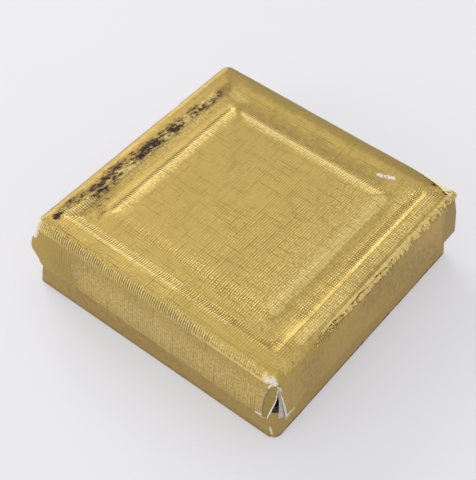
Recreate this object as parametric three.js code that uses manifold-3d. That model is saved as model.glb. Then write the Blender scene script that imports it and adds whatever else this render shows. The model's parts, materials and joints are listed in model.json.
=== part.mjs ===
// Coin presentation box: a square card base and a deep lift-off lid, both covered in gilt paper,
// with a velvet platform for one crown-sized coin inside.
// Millimetres, +Z up. The origin is the centre of the underside. The lid's split corner faces +X -Y.

import * as THREE from 'three';
import { mergeVertices } from 'three/addons/utils/BufferGeometryUtils.js';
import Module from 'manifold-3d';

const wasm = await Module();
wasm.setup();

// Whole box
const HEIGHT = 18.8;
const CORNER_STEPS = 6;
const LEFT_QUARTER = 2;

// Paper, card and the room left for glue
const PAPER = 0.15;
const BOARD = 0.6;
const STAY = 0.08;
const STAY_ROOM = 0.12;
const GLUE = 0.03;
const FOLD_CHAMFER = 0.1;
const BOARD_OUT = PAPER + STAY_ROOM;
const BOARD_IN = BOARD_OUT + BOARD;
const TURN_OUT = BOARD_IN + GLUE;
const TURN_IN = TURN_OUT + PAPER;

// Lid: walls that splay a little towards the rim, a rounded top edge, a cove pressed into the top
const LID_TOP_HALF = 30.07;
const LID_RIM_HALF = 30.9;
const LID_RIM_Z = 6.75;
const LID_EDGE_R = 2.3;
const LID_EDGE_STEPS = 6;
const LID_SHOULDER_Z = HEIGHT - LID_EDGE_R;
const LID_TURN_IN = 8;
const PANEL_HALF = 19.2;
const COVE_WIDTH = 6;
const COVE_DEPTH = 0.65;
const COVE_STEPS = 10;
const COVE_CORNER_R = 0.4;

// The lid's upright corners are worn round at the top and sharper lower down. The left corner also bulges
// and is then knocked in above the rim. Heights and corner radii, from the top.
const LID_TOP_CORNER_R = 2.6;
const LID_CORNER = [[LID_SHOULDER_Z, LID_TOP_CORNER_R], [12.5, 1.4], [LID_RIM_Z, 1.4]];
const LID_LEFT_CORNER = [
  [LID_SHOULDER_Z, LID_TOP_CORNER_R],
  [12.5, 1.4],
  [10.7, 0.9],
  [7.6, 3.3],
  [LID_RIM_Z, 3.3],
];

// Base: walls that lean in under the lid, paper turned in at the rim and under at the bottom.
// Its rim stops where the lid's rounded edge meets it.
const SHEET_HALF = 28.2;
const BASE_BOTTOM_HALF = 29.9;
const BASE_TOP_HALF = 28.97;
const BASE_BOTTOM_Z = PAPER + GLUE;
const BASE_TOP_Z = 17.43;
const BASE_CORNER_R = 1.8;
const BASE_EDGE_R = 0.5;
const BASE_EDGE_STEPS = 4;
const BASE_RIM_R = 0.4;
const BASE_RIM_STEPS = 4;
const BASE_TURN_IN = 6;
const BASE_TURN_UNDER_HALF = 22;
const BASE_FLOOR_Z = BASE_BOTTOM_Z + BOARD_IN;

// Strips round the corners, and the seams in the board that they close
const STAY_LEG = 9;
const STAY_END = 0.5;
const SEAM_WIDTH = 0.3;
const SEAM_DEPTH = 6;

// Lining papers
const LINING = 0.1;
const BASE_LINING_TOP_Z = 16.2;
const LID_LINING_HALF = 27.2;

// Platform that holds the coin
const TRAY_HALF = 28;
const TRAY_CARD = 0.6;
const TRAY_TOP_Z = 9.9;
const TRAY_LEG_HALF_WIDTH = 22.5;
const TRAY_CORNER_R = 0.9;
const TRAY_FOLD_R = 0.5;
const VELVET = 0.5;
const VELVET_BEVEL = 0.15;
const VELVET_HALF = 27.85;
const WELL_R = 19.6;
const WELL_CARD = 0.5;
const WELL_GAP = 0.2;
const WELL_FLOOR_R = 22;
const WELL_FLOOR_TOP_Z = 5.6;
const WELL_VELVET_R = 19.35;
const WELL_VELVET = 0.4;
const PEDESTAL_R = 16.5;
const ROUND_STEPS = 56;
const SEAT_GAP = 0.05;

// Pad inside the lid
const PAD_HALF = 26;
const PAD_CARD = 0.5;
const PAD_CORNER_R = 2.2;
const PAD_DEPTH = 1.75;
const PAD_SIDE = 0.5;
const PAD_STEPS = 7;

// Damage at the front corner, as widths across the corner and heights
const WRAP_TEAR = { left: 2.75, right: 1.9, apexZ: 18.1 };
const STAY_TEAR = { left: 1.62, right: 1.86, apexZ: 15.5 };
const BOARD_TEAR = { left: 1.72, right: 1.84, apexZ: 17.6 };
const TEAR_FOOT_Z = 5.5;
const TEAR_BOW = 0.42;
const BASE_SPLIT = { foot: 0.75, top: 1.15, footZ: 7.3 };

const COLOURS = {
  gilt: { color: 0xbfa05a, roughness: 0.45, metalness: 0.55 },
  greyboard: { color: 0x9a948a, roughness: 0.9, metalness: 0 },
  card: { color: 0xcfc4ab, roughness: 0.85, metalness: 0 },
  lining: { color: 0xe9e2d0, roughness: 0.8, metalness: 0 },
  satin: { color: 0xe8dfc8, roughness: 0.4, metalness: 0 },
  velvet: { color: 0x3a1730, roughness: 0.95, metalness: 0 },
};

const box = new THREE.Group();

function addPiece(name, geometry, finish) {
  const mesh = new THREE.Mesh(geometry, new THREE.MeshStandardMaterial(COLOURS[finish]));
  mesh.name = name;
  box.add(mesh);
}

// One turn of a rounded square, anticlockwise seen from above. The left corner can be rounder.
function squareRing({ half, corner, leftCorner = corner, z }) {
  const ring = [];
  for (let quarter = 0; quarter < 4; quarter += 1) {
    const middle = (quarter + 0.5) * Math.PI / 2;
    const radius = quarter === LEFT_QUARTER ? leftCorner : corner;
    const cx = Math.sign(Math.cos(middle)) * (half - radius);
    const cy = Math.sign(Math.sin(middle)) * (half - radius);
    for (let step = 0; step <= CORNER_STEPS; step += 1) {
      const angle = (quarter + step / CORNER_STEPS) * Math.PI / 2;
      ring.push(new THREE.Vector3(cx + radius * Math.cos(angle), cy + radius * Math.sin(angle), z));
    }
  }
  return ring;
}

// A section carried round a rounded square. It runs anticlockwise with its half-width to the right.
// An open section starts and ends flat over the axis; a closed one makes a ring.
function squareTurned(section, closed = false) {
  const rings = section.map(squareRing);
  const count = rings[0].length;
  const points = rings.flat();
  const faces = [];
  const joins = closed ? rings.length : rings.length - 1;
  for (let i = 0; i < joins; i += 1) {
    const low = i * count;
    const high = ((i + 1) % rings.length) * count;
    for (let j = 0; j < count; j += 1) {
      const k = (j + 1) % count;
      faces.push(low + j, low + k, high + k, low + j, high + k, high + j);
    }
  }
  if (!closed) {
    const last = (rings.length - 1) * count;
    const under = points.push(new THREE.Vector3(0, 0, section[0].z)) - 1;
    const over = points.push(new THREE.Vector3(0, 0, section.at(-1).z)) - 1;
    for (let j = 0; j < count; j += 1) {
      const k = (j + 1) % count;
      faces.push(under, k, j, over, last + j, last + k);
    }
  }
  const geometry = new THREE.BufferGeometry().setFromPoints(points);
  geometry.setIndex(faces);
  geometry.computeVertexNormals();
  return geometry;
}

function toSolid(geometry) {
  const bare = geometry.clone();
  bare.deleteAttribute('normal');
  bare.deleteAttribute('uv');
  const merged = mergeVertices(bare);
  return new wasm.Manifold(new wasm.Mesh({
    numProp: 3,
    vertProperties: new Float32Array(merged.attributes.position.array),
    triVerts: new Uint32Array(merged.index.array),
  }));
}

function toGeometry(solid) {
  const mesh = solid.getMesh();
  const geometry = new THREE.BufferGeometry();
  geometry.setAttribute('position', new THREE.BufferAttribute(mesh.vertProperties, mesh.numProp));
  geometry.setIndex(new THREE.BufferAttribute(mesh.triVerts, 1));
  geometry.computeVertexNormals();
  return geometry;
}

function cut(geometry, ...tools) {
  return toGeometry(tools.reduce((solid, tool) => solid.subtract(toSolid(tool)), toSolid(geometry)));
}

function keepInside(geometry, tool) {
  return toGeometry(toSolid(geometry).intersect(toSolid(tool)));
}

function boxBetween(low, high) {
  const size = new THREE.Vector3().subVectors(high, low);
  const middle = new THREE.Vector3().addVectors(low, high).multiplyScalar(0.5);
  return new THREE.BoxGeometry(size.x, size.y, size.z).translate(middle.x, middle.y, middle.z);
}

// A flat outline, drawn across the front corner and upwards, carried straight through that corner.
// Turned by quarter turns it does the same at the other corners.
function throughCorner(outline, quarterTurns = 0) {
  const start = (LID_RIM_HALF - SEAM_DEPTH) * Math.SQRT2;
  const depth = 2 * SEAM_DEPTH * Math.SQRT2;
  const across = new THREE.Vector3(1, 1, 0).normalize();
  const upwards = new THREE.Vector3(0, 0, 1);
  const outwards = new THREE.Vector3(1, -1, 0).normalize();
  const prism = new THREE.ExtrudeGeometry(outline, { depth, bevelEnabled: false, curveSegments: 8 });
  prism.translate(0, 0, start);
  prism.applyMatrix4(new THREE.Matrix4().makeBasis(across, upwards, outwards));
  return prism.rotateZ(quarterTurns * Math.PI / 2);
}

function seam(quarterTurns, lowZ, highZ) {
  const half = SEAM_WIDTH / 2;
  const outline = new THREE.Shape([
    new THREE.Vector2(-half, lowZ),
    new THREE.Vector2(half, lowZ),
    new THREE.Vector2(half, highZ),
    new THREE.Vector2(-half, highZ),
  ]);
  return throughCorner(outline, quarterTurns);
}

// The split lid corner: two bowed edges that open from a point near the top
function tear({ left, right, apexZ }) {
  const middleZ = (apexZ + TEAR_FOOT_Z) / 2;
  const outline = new THREE.Shape();
  outline.moveTo(-left, TEAR_FOOT_Z);
  outline.lineTo(right, TEAR_FOOT_Z);
  outline.quadraticCurveTo(right * TEAR_BOW, middleZ, 0, apexZ);
  outline.quadraticCurveTo(-left * TEAR_BOW, middleZ, -left, TEAR_FOOT_Z);
  return throughCorner(outline);
}

// The base's own corner has opened behind it, down to just above the lid's rim
function baseSplit() {
  const outline = new THREE.Shape([
    new THREE.Vector2(-BASE_SPLIT.foot, BASE_SPLIT.footZ),
    new THREE.Vector2(BASE_SPLIT.foot, BASE_SPLIT.footZ),
    new THREE.Vector2(BASE_SPLIT.top, HEIGHT),
    new THREE.Vector2(-BASE_SPLIT.top, HEIGHT),
  ]);
  return throughCorner(outline);
}

function lidHalf(z) {
  const share = (LID_SHOULDER_Z - z) / (LID_SHOULDER_Z - LID_RIM_Z);
  return LID_TOP_HALF + share * (LID_RIM_HALF - LID_TOP_HALF);
}

function baseHalf(z) {
  return THREE.MathUtils.mapLinear(z, 0, BASE_TOP_Z, BASE_BOTTOM_HALF, BASE_TOP_HALF);
}

function cornerRadius(profile, inset, z) {
  const next = Math.max(profile.findIndex(([low]) => low <= z), 1);
  const [highZ, highR] = profile[next - 1];
  const [lowZ, lowR] = profile[next];
  const radius = THREE.MathUtils.mapLinear(z, lowZ, highZ, lowR, highR);
  return Math.max(radius - inset, FOLD_CHAMFER);
}

function lidWallPoint(inset, z) {
  const corner = cornerRadius(LID_CORNER, inset, z);
  const leftCorner = cornerRadius(LID_LEFT_CORNER, inset, z);
  return { half: lidHalf(z) - inset, corner, leftCorner, z };
}

function baseWallPoint(inset, z) {
  const corner = Math.max(BASE_CORNER_R - inset, COVE_CORNER_R);
  return { half: baseHalf(z) - inset, corner, z };
}

// The lid's wall from one height down to another, with a bend wherever the left corner's radius turns
function lidWall(inset, highZ, lowZ) {
  const bends = LID_LEFT_CORNER.map(([z]) => z).filter((z) => z < highZ && z > lowZ);
  return [highZ, ...bends, lowZ].map((z) => lidWallPoint(inset, z));
}

// The pressed frame on the lid's top, from the panel's edge out to the margin
function coveLine(inset) {
  return Array.from({ length: COVE_STEPS + 1 }, (_, i) => {
    const share = i / COVE_STEPS;
    const fall = COVE_DEPTH * 4 * share * (1 - share);
    return { half: PANEL_HALF + share * COVE_WIDTH, corner: COVE_CORNER_R, z: HEIGHT - inset - fall };
  });
}

// The lid's surface at an inset, from the panel across the cove and down the wall to a height
function lidSkin(inset, footZ) {
  const radius = LID_EDGE_R - inset;
  const edge = Array.from({ length: LID_EDGE_STEPS + 1 }, (_, i) => {
    const angle = i / LID_EDGE_STEPS * Math.PI / 2;
    const reach = radius * Math.sin(angle) - LID_EDGE_R;
    return {
      half: LID_TOP_HALF + reach,
      corner: Math.max(LID_TOP_CORNER_R + reach, FOLD_CHAMFER),
      z: LID_SHOULDER_Z + radius * Math.cos(angle),
    };
  });
  return [...coveLine(inset), ...edge, ...lidWall(inset, LID_SHOULDER_Z, footZ).slice(1)];
}

// The base's surface at an inset, from under the floor round the bottom edge and up to a height
function baseSkin(inset, innerHalf, topZ) {
  const radius = Math.max(BASE_EDGE_R - inset, FOLD_CHAMFER);
  const floorZ = BASE_BOTTOM_Z + inset;
  const sideHalf = baseHalf(floorZ + radius) - inset;
  const side = baseWallPoint(inset, topZ);
  const edge = Array.from({ length: BASE_EDGE_STEPS + 1 }, (_, i) => {
    const angle = i / BASE_EDGE_STEPS * Math.PI / 2;
    const reach = radius * (1 - Math.sin(angle));
    return {
      half: sideHalf - reach,
      corner: Math.max(side.corner - reach, FOLD_CHAMFER),
      z: floorZ + radius * (1 - Math.cos(angle)),
    };
  });
  const start = { half: innerHalf, corner: FOLD_CHAMFER, z: floorZ };
  return [start, ...edge, side];
}

function baseStayWall(inset) {
  return [BASE_TOP_Z - STAY_END, BASE_EDGE_R + BOARD].map((z) => baseWallPoint(inset, z));
}

function lidStayWall(inset) {
  return lidWall(inset, LID_SHOULDER_Z - STAY_END, LID_RIM_Z + STAY_END);
}

// Four strips of gilt paper pasted round the corners of a board, under the wrap
function addCornerStays(bodyName, wall, frontCut) {
  const outer = PAPER + (STAY_ROOM - STAY) / 2;
  const band = squareTurned([...wall(outer + STAY), ...wall(outer).reverse()], true);
  const near = LID_TOP_HALF - STAY_LEG;
  const far = LID_RIM_HALF + STAY_LEG;
  const corner = boxBetween(new THREE.Vector3(near, -far, 0), new THREE.Vector3(far, -near, HEIGHT));
  ['front', 'right', 'back', 'left'].forEach((side, quarterTurns) => {
    const stay = keepInside(band, corner.clone().rotateZ(quarterTurns * Math.PI / 2));
    addPiece(`${bodyName}_corner_stay_${side}`, side === 'front' ? cut(stay, frontCut) : stay, 'gilt');
  });
}

function addLidBoard() {
  const footZ = LID_RIM_Z + PAPER + GLUE;
  const tray = squareTurned([
    ...lidSkin(BOARD_IN, footZ),
    ...lidSkin(BOARD_OUT, footZ).reverse(),
  ]);
  const seamTop = LID_SHOULDER_Z - BOARD;
  const seams = [1, 2, 3].map((turns) => seam(turns, LID_RIM_Z - BOARD, seamTop));
  addPiece('lid_board', cut(tray, tear(BOARD_TEAR), ...seams), 'greyboard');
}

function addLidWrap() {
  const turnTop = LID_RIM_Z + LID_TURN_IN;
  const foldZ = LID_RIM_Z + PAPER;
  const sheet = squareTurned([
    ...lidSkin(PAPER, foldZ),
    ...lidWall(TURN_OUT, turnTop, foldZ).reverse(),
    ...lidWall(TURN_IN, turnTop, LID_RIM_Z + FOLD_CHAMFER),
    lidWallPoint(TURN_IN - FOLD_CHAMFER, LID_RIM_Z),
    lidWallPoint(FOLD_CHAMFER, LID_RIM_Z),
    ...lidSkin(0, LID_RIM_Z + FOLD_CHAMFER).reverse(),
  ]);
  addPiece('lid_wrap', cut(sheet, tear(WRAP_TEAR)), 'gilt');
}

function addLidLining() {
  const top = BOARD_IN + GLUE;
  const edge = { half: LID_LINING_HALF, corner: COVE_CORNER_R };
  const sheet = squareTurned([
    ...coveLine(top + LINING),
    { ...edge, z: HEIGHT - top - LINING },
    { ...edge, z: HEIGHT - top },
    ...coveLine(top).reverse(),
  ]);
  addPiece('lid_lining', sheet, 'lining');
}

// A card pasted up against the cove's underside, and the wadded satin pad on it
function addLidPad() {
  const cardTop = HEIGHT - BOARD_IN - GLUE - LINING - COVE_DEPTH - SEAT_GAP;
  const cardEdge = { half: PAD_HALF, corner: PAD_CORNER_R };
  const cardFoot = cardTop - PAD_CARD;
  addPiece('lid_pad_card', squareTurned([{ ...cardEdge, z: cardFoot }, { ...cardEdge, z: cardTop }]), 'card');

  const padTop = cardFoot - SEAT_GAP;
  const crown = Array.from({ length: PAD_STEPS }, (_, i) => {
    const share = (i + 1) / PAD_STEPS;
    const drop = PAD_DEPTH - (PAD_DEPTH - PAD_SIDE) * share ** 4;
    const corner = THREE.MathUtils.lerp(FOLD_CHAMFER, PAD_CORNER_R, share);
    return { half: PAD_HALF * share, corner, z: padTop - drop };
  });
  const padEdge = { half: PAD_HALF, corner: PAD_CORNER_R, z: padTop };
  addPiece('lid_pad', squareTurned([...crown, padEdge]), 'satin');
}

function addBaseBoard() {
  const topZ = BASE_TOP_Z - PAPER - GLUE;
  const tray = squareTurned([
    ...baseSkin(BOARD_OUT, BASE_TURN_UNDER_HALF, topZ),
    ...baseSkin(BOARD_IN, BASE_TURN_UNDER_HALF, topZ).reverse(),
  ]);
  const seams = [1, 2, 3].map((turns) => seam(turns, BASE_FLOOR_Z + BOARD, HEIGHT));
  addPiece('base_board', cut(tray, baseSplit(), ...seams), 'greyboard');
}

function addBaseWrap() {
  const turnFoot = BASE_TOP_Z - BASE_TURN_IN;
  const shoulderZ = BASE_TOP_Z - BASE_RIM_R;
  const rim = Array.from({ length: BASE_RIM_STEPS + 1 }, (_, i) => {
    const angle = i / BASE_RIM_STEPS * Math.PI / 2;
    const inset = BASE_RIM_R * (1 - Math.cos(angle));
    const point = baseWallPoint(inset, shoulderZ);
    return { ...point, z: shoulderZ + BASE_RIM_R * Math.sin(angle) };
  });
  const foldZ = BASE_TOP_Z - PAPER;
  const sheet = squareTurned([
    ...baseSkin(0, BASE_TURN_UNDER_HALF, shoulderZ - BASE_RIM_R),
    ...rim,
    baseWallPoint(TURN_IN - FOLD_CHAMFER, BASE_TOP_Z),
    baseWallPoint(TURN_IN, BASE_TOP_Z - FOLD_CHAMFER),
    baseWallPoint(TURN_IN, turnFoot),
    baseWallPoint(TURN_OUT, turnFoot),
    baseWallPoint(TURN_OUT, foldZ),
    baseWallPoint(BOARD_OUT, foldZ),
    baseWallPoint(PAPER, shoulderZ),
    ...baseSkin(PAPER, BASE_TURN_UNDER_HALF, shoulderZ - BASE_RIM_R).reverse(),
  ], true);
  addPiece('base_wrap', cut(sheet, baseSplit()), 'gilt');
}

function addBaseBottomSheet() {
  const edge = { half: SHEET_HALF, corner: BASE_CORNER_R };
  addPiece('base_bottom_sheet', squareTurned([{ ...edge, z: 0 }, { ...edge, z: PAPER }]), 'lining');
}

function addBaseWallLining() {
  const outer = TURN_IN + GLUE;
  const inner = outer + LINING;
  const footZ = BASE_FLOOR_Z + GLUE;
  const band = squareTurned([
    baseWallPoint(inner, footZ),
    baseWallPoint(outer, footZ),
    baseWallPoint(outer, BASE_LINING_TOP_Z),
    baseWallPoint(inner, BASE_LINING_TOP_Z),
  ], true);
  addPiece('base_wall_lining', cut(band, baseSplit()), 'lining');
}

// A card folded down on four sides, with open corners and a round hole for the coin
function addInsertTray() {
  const footZ = BASE_FLOOR_Z + SEAT_GAP;
  const inside = { half: TRAY_HALF - TRAY_CARD, corner: TRAY_CORNER_R - TRAY_CARD };
  const outside = { half: TRAY_HALF, corner: TRAY_CORNER_R };
  const folded = squareTurned([
    { ...inside, z: TRAY_TOP_Z - TRAY_CARD },
    { ...inside, z: footZ },
    { ...outside, z: footZ },
    { ...outside, z: TRAY_TOP_Z - TRAY_FOLD_R },
    { half: TRAY_HALF - TRAY_FOLD_R, corner: TRAY_CORNER_R - TRAY_FOLD_R, z: TRAY_TOP_Z },
  ]);
  const holeR = WELL_R + WELL_CARD + WELL_GAP;
  const hole = new THREE.CylinderGeometry(holeR, holeR, 2 * TRAY_TOP_Z, ROUND_STEPS).rotateX(Math.PI / 2);
  hole.translate(0, 0, TRAY_TOP_Z);
  const openTop = TRAY_TOP_Z - TRAY_CARD - SEAT_GAP;
  const openLow = new THREE.Vector3(TRAY_LEG_HALF_WIDTH, TRAY_LEG_HALF_WIDTH, 0);
  const openHigh = new THREE.Vector3(LID_TOP_HALF, LID_TOP_HALF, openTop);
  const openCorner = boxBetween(openLow, openHigh);
  const openCorners = [0, 1, 2, 3].map((turns) => openCorner.clone().rotateZ(turns * Math.PI / 2));
  addPiece('insert_tray', cut(folded, hole, ...openCorners), 'card');
}

function addInsertVelvet() {
  const side = VELVET_HALF - VELVET_BEVEL;
  const outline = new THREE.Shape();
  outline.moveTo(-side, -side);
  outline.lineTo(side, -side);
  outline.lineTo(side, side);
  outline.lineTo(-side, side);
  const hole = new THREE.Path();
  hole.absarc(0, 0, WELL_R + VELVET_BEVEL, 0, 2 * Math.PI, true);
  outline.holes.push(hole);
  const cloth = new THREE.ExtrudeGeometry(outline, {
    depth: VELVET - 2 * VELVET_BEVEL,
    bevelThickness: VELVET_BEVEL,
    bevelSize: VELVET_BEVEL,
    bevelSegments: 2,
    curveSegments: ROUND_STEPS / 2,
  });
  cloth.translate(0, 0, TRAY_TOP_Z + SEAT_GAP + VELVET_BEVEL);
  addPiece('insert_velvet', cloth, 'velvet');
}

// A strip of card rolled into a ring between two heights
function rolledRing(innerR, lowZ, highZ) {
  const outerR = innerR + WELL_CARD;
  const section = [
    new THREE.Vector2(innerR, lowZ),
    new THREE.Vector2(outerR, lowZ),
    new THREE.Vector2(outerR, highZ),
    new THREE.Vector2(innerR, highZ),
    new THREE.Vector2(innerR, lowZ),
  ];
  return new THREE.LatheGeometry(section, ROUND_STEPS).rotateX(Math.PI / 2);
}

function disc(radius, lowZ, highZ) {
  const section = [
    new THREE.Vector2(0, lowZ),
    new THREE.Vector2(radius, lowZ),
    new THREE.Vector2(radius, highZ),
    new THREE.Vector2(0, highZ),
  ];
  return new THREE.LatheGeometry(section, ROUND_STEPS).rotateX(Math.PI / 2);
}

// The round well: a rolled pedestal, a card floor on it, a ring for its wall and a velvet disc
function addCoinWell() {
  const floorFoot = WELL_FLOOR_TOP_Z - TRAY_CARD;
  const seatZ = WELL_FLOOR_TOP_Z + SEAT_GAP;
  addPiece('well_pedestal', rolledRing(PEDESTAL_R, BASE_FLOOR_Z + SEAT_GAP, floorFoot - SEAT_GAP), 'card');
  addPiece('well_floor', disc(WELL_FLOOR_R, floorFoot, WELL_FLOOR_TOP_Z), 'card');
  addPiece('well_ring', rolledRing(WELL_R, seatZ, TRAY_TOP_Z), 'card');
  addPiece('well_velvet', disc(WELL_VELVET_R, seatZ, seatZ + WELL_VELVET), 'velvet');
}

addBaseBottomSheet();
addBaseBoard();
addCornerStays('base', baseStayWall, baseSplit());
addBaseWrap();
addBaseWallLining();
addInsertTray();
addInsertVelvet();
addCoinWell();
addLidBoard();
addCornerStays('lid', lidStayWall, tear(STAY_TEAR));
addLidWrap();
addLidLining();
addLidPad();

export default box;
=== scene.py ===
# %% [markdown]
# # A worn gilt box for one coin
# The real thing is a small square box of grey card, covered in gilt paper that was pressed to look like
# linen. A deep lid lifts straight off. The lid's top has a hollow frame pressed into it, its front corner has
# split open, its left corner is knocked in, and the gilding has gone black along one edge.
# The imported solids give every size. Here the paper is made again as fine sheets, so that it can tear and
# wear.

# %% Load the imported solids
import json
import math

import bmesh
import bpy
import numpy as np
from mathutils import Matrix, Vector, noise


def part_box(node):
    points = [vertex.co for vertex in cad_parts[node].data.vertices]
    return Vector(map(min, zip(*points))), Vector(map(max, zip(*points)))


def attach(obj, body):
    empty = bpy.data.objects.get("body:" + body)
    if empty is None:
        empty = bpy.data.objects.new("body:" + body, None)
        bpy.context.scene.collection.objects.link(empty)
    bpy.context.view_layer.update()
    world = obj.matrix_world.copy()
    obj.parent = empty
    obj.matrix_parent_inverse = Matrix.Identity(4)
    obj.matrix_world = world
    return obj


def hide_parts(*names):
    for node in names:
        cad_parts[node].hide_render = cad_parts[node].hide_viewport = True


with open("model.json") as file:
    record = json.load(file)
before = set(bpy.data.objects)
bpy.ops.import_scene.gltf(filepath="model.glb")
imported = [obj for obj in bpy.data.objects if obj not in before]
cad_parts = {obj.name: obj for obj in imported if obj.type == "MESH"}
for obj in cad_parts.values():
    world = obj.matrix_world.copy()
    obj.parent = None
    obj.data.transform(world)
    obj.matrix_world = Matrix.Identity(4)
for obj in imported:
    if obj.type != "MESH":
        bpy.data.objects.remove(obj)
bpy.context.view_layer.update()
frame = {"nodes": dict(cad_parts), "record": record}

scene = bpy.context.scene
MM = 0.001
print("nodes in the frame:", len(frame["nodes"]))

# %% [markdown]
# ## Camera
# The picture was taken from above the front corner. The angles and the distance come from a fit to the
# box's corners and edges, and the slight roll keeps the box's tilt in the frame.

# %% The camera
VIEW_AZIMUTH = 36.13
VIEW_ELEVATION = 49.80
VIEW_ROLL = 2.87
VIEW_DISTANCE = 244.83
VIEW_TARGET = Vector((-1.52, -1.49, 8.0))
FOCAL_PIXELS = 1204.4
IMAGE_HEIGHT = 480
SENSOR = 36


def place_camera():
    azimuth, elevation, roll = (math.radians(v) for v in (VIEW_AZIMUTH, VIEW_ELEVATION, VIEW_ROLL))
    flat = math.cos(elevation)
    back = Vector((math.sin(azimuth) * flat, -math.cos(azimuth) * flat, math.sin(elevation)))
    level = (-back).cross(Vector((0, 0, 1))).normalized()
    above = level.cross(-back)
    across = math.cos(roll) * level + math.sin(roll) * above
    upward = math.cos(roll) * above - math.sin(roll) * level
    data = bpy.data.cameras.new("camera")
    data.sensor_width = SENSOR
    data.lens = FOCAL_PIXELS / IMAGE_HEIGHT * SENSOR
    data.clip_start = 0.01
    camera = bpy.data.objects.new("camera", data)
    scene.collection.objects.link(camera)
    turn = Matrix((across, upward, back)).transposed().to_4x4()
    turn.translation = (VIEW_TARGET + back * VIEW_DISTANCE) * MM
    camera.matrix_world = turn
    scene.camera = camera


place_camera()
scene.view_settings.view_transform = "Standard"
print("camera at", [round(v, 3) for v in scene.camera.matrix_world.translation])

# %% [markdown]
# ## Shader helpers
# A material here is a node tree made in code. Two small helpers keep that readable: one adds a node and
# links or sets its inputs, the other does sums. Effects that several finishes share are node groups.

# %% Small helpers for node trees


def add_node(tree, kind, settings=None, **inputs):
    made = tree.nodes.new(kind)
    for key, value in (settings or {}).items():
        setattr(made, key, value)
    for key, value in inputs.items():
        put(tree, made.inputs[key.replace("_", " ")], value)
    return made


def put(tree, socket, value):
    if isinstance(value, bpy.types.NodeSocket):
        tree.links.new(value, socket)
    else:
        socket.default_value = value


def sums(tree, operation, *values):
    made = tree.nodes.new("ShaderNodeMath")
    made.operation = operation
    for socket, value in zip(made.inputs, values):
        put(tree, socket, value)
    return made.outputs[0]


def soft_step(tree, value, low, high):
    made = add_node(tree, "ShaderNodeMapRange", {"interpolation_type": "SMOOTHSTEP"}, Value=value)
    put(tree, made.inputs["From Min"], low)
    put(tree, made.inputs["From Max"], high)
    return made.outputs["Result"]


def speckle(tree, place, scale, detail=3.0, roughness=0.6):
    made = add_node(tree, "ShaderNodeTexNoise", Vector=place, Scale=scale)
    made.inputs["Detail"].default_value = detail
    made.inputs["Roughness"].default_value = roughness
    return made.outputs["Fac"]


def blend_colours(tree, share, first, second):
    made = tree.nodes.new("ShaderNodeMix")
    made.data_type = "RGBA"
    put(tree, made.inputs["Factor"], share)
    put(tree, made.inputs[6], first)
    put(tree, made.inputs[7], second)
    return made.outputs[2]


def new_material(name):
    material = bpy.data.materials.new(name)
    material.use_nodes = True
    return material, material.node_tree, material.node_tree.nodes["Principled BSDF"]


def colour(red, green, blue):
    return (red, green, blue, 1.0)


def relief(tree, height, depth_mm, strength=1.0):
    bump = add_node(tree, "ShaderNodeBump", Height=height, Strength=strength, Distance=depth_mm * MM)
    return bump.outputs["Normal"]


def measure(tree, name):
    return add_node(tree, "ShaderNodeAttribute", {"attribute_name": name}).outputs["Fac"]


def place_in_mm(tree):
    spot = add_node(tree, "ShaderNodeTexCoord").outputs["Object"]
    larger = add_node(tree, "ShaderNodeVectorMath", {"operation": "SCALE"}, Vector=spot, Scale=1 / MM)
    return larger.outputs[0]


def sheet_place(tree):
    return add_node(tree, "ShaderNodeUVMap", {"uv_map": "sheet"}).outputs["UV"]


print("helpers ready")

# %% [markdown]
# ## Linen pressing
# The paper was pressed between rollers cut like woven linen: fine ridges both ways, two to the millimetre,
# with some threads thicker than others. The group reads a flat place on the sheet in millimetres. Every
# thread has its own slow noise along its length, which makes the dark, short, straight slubs. Where the
# sheet was pressed over an edge, only the threads across that edge stay sharp, like a row of teeth.

# %% Linen weave group
THREAD_APART = 3.71
SLUB_ALONG = 0.17
SLUB_EDGES = 0.50, 0.68
FAINT_FURROW, SLUB_FURROW = 0.20, 0.76
TEETH_LEAN = 0.5
CROSS_SHARE = 0.8
MEAN_HEIGHT = 1.27
UNEVEN_ACROSS, UNEVEN_ALONG, UNEVEN_SHARE = 0.7, 0.02, 0.8


def group_with(name, inputs, outputs):
    group = bpy.data.node_groups.new(name, "ShaderNodeTree")
    for label, kind in inputs:
        group.interface.new_socket(label, in_out="INPUT", socket_type=kind)
    for label, kind in outputs:
        group.interface.new_socket(label, in_out="OUTPUT", socket_type=kind)
    return group, group.nodes.new("NodeGroupInput"), group.nodes.new("NodeGroupOutput")


def thread_noise(tree, number, along, seed):
    spot = add_node(tree, "ShaderNodeCombineXYZ", X=sums(tree, "MULTIPLY", number, THREAD_APART), Z=seed)
    put(tree, spot.inputs["Y"], sums(tree, "MULTIPLY", along, SLUB_ALONG))
    return speckle(tree, spot.outputs[0], 1.0, 2.0)


def thread_set(tree, across, along, seed, teeth):
    """One set of parallel threads: ridges of differing height, and the furrows between them."""
    ridge = sums(tree, "ABSOLUTE", sums(tree, "SINE", sums(tree, "MULTIPLY", across, math.pi)))
    thick = thread_noise(tree, sums(tree, "FLOOR", across), along, seed)
    deep = thread_noise(tree, sums(tree, "ROUND", across), along, seed + 3.0)
    slub = sums(tree, "MULTIPLY_ADD", soft_step(tree, deep, *SLUB_EDGES), SLUB_FURROW, FAINT_FURROW)
    slub = sums(tree, "MAXIMUM", slub, teeth)
    narrow = sums(tree, "MULTIPLY_ADD", teeth, -0.6, 1.3)
    gap = sums(tree, "POWER", sums(tree, "SUBTRACT", 1.0, ridge), narrow)
    height = sums(tree, "MULTIPLY", ridge, sums(tree, "MULTIPLY_ADD", thick, 1.2, 0.4))
    return height, sums(tree, "MULTIPLY", gap, slub), thick


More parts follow.
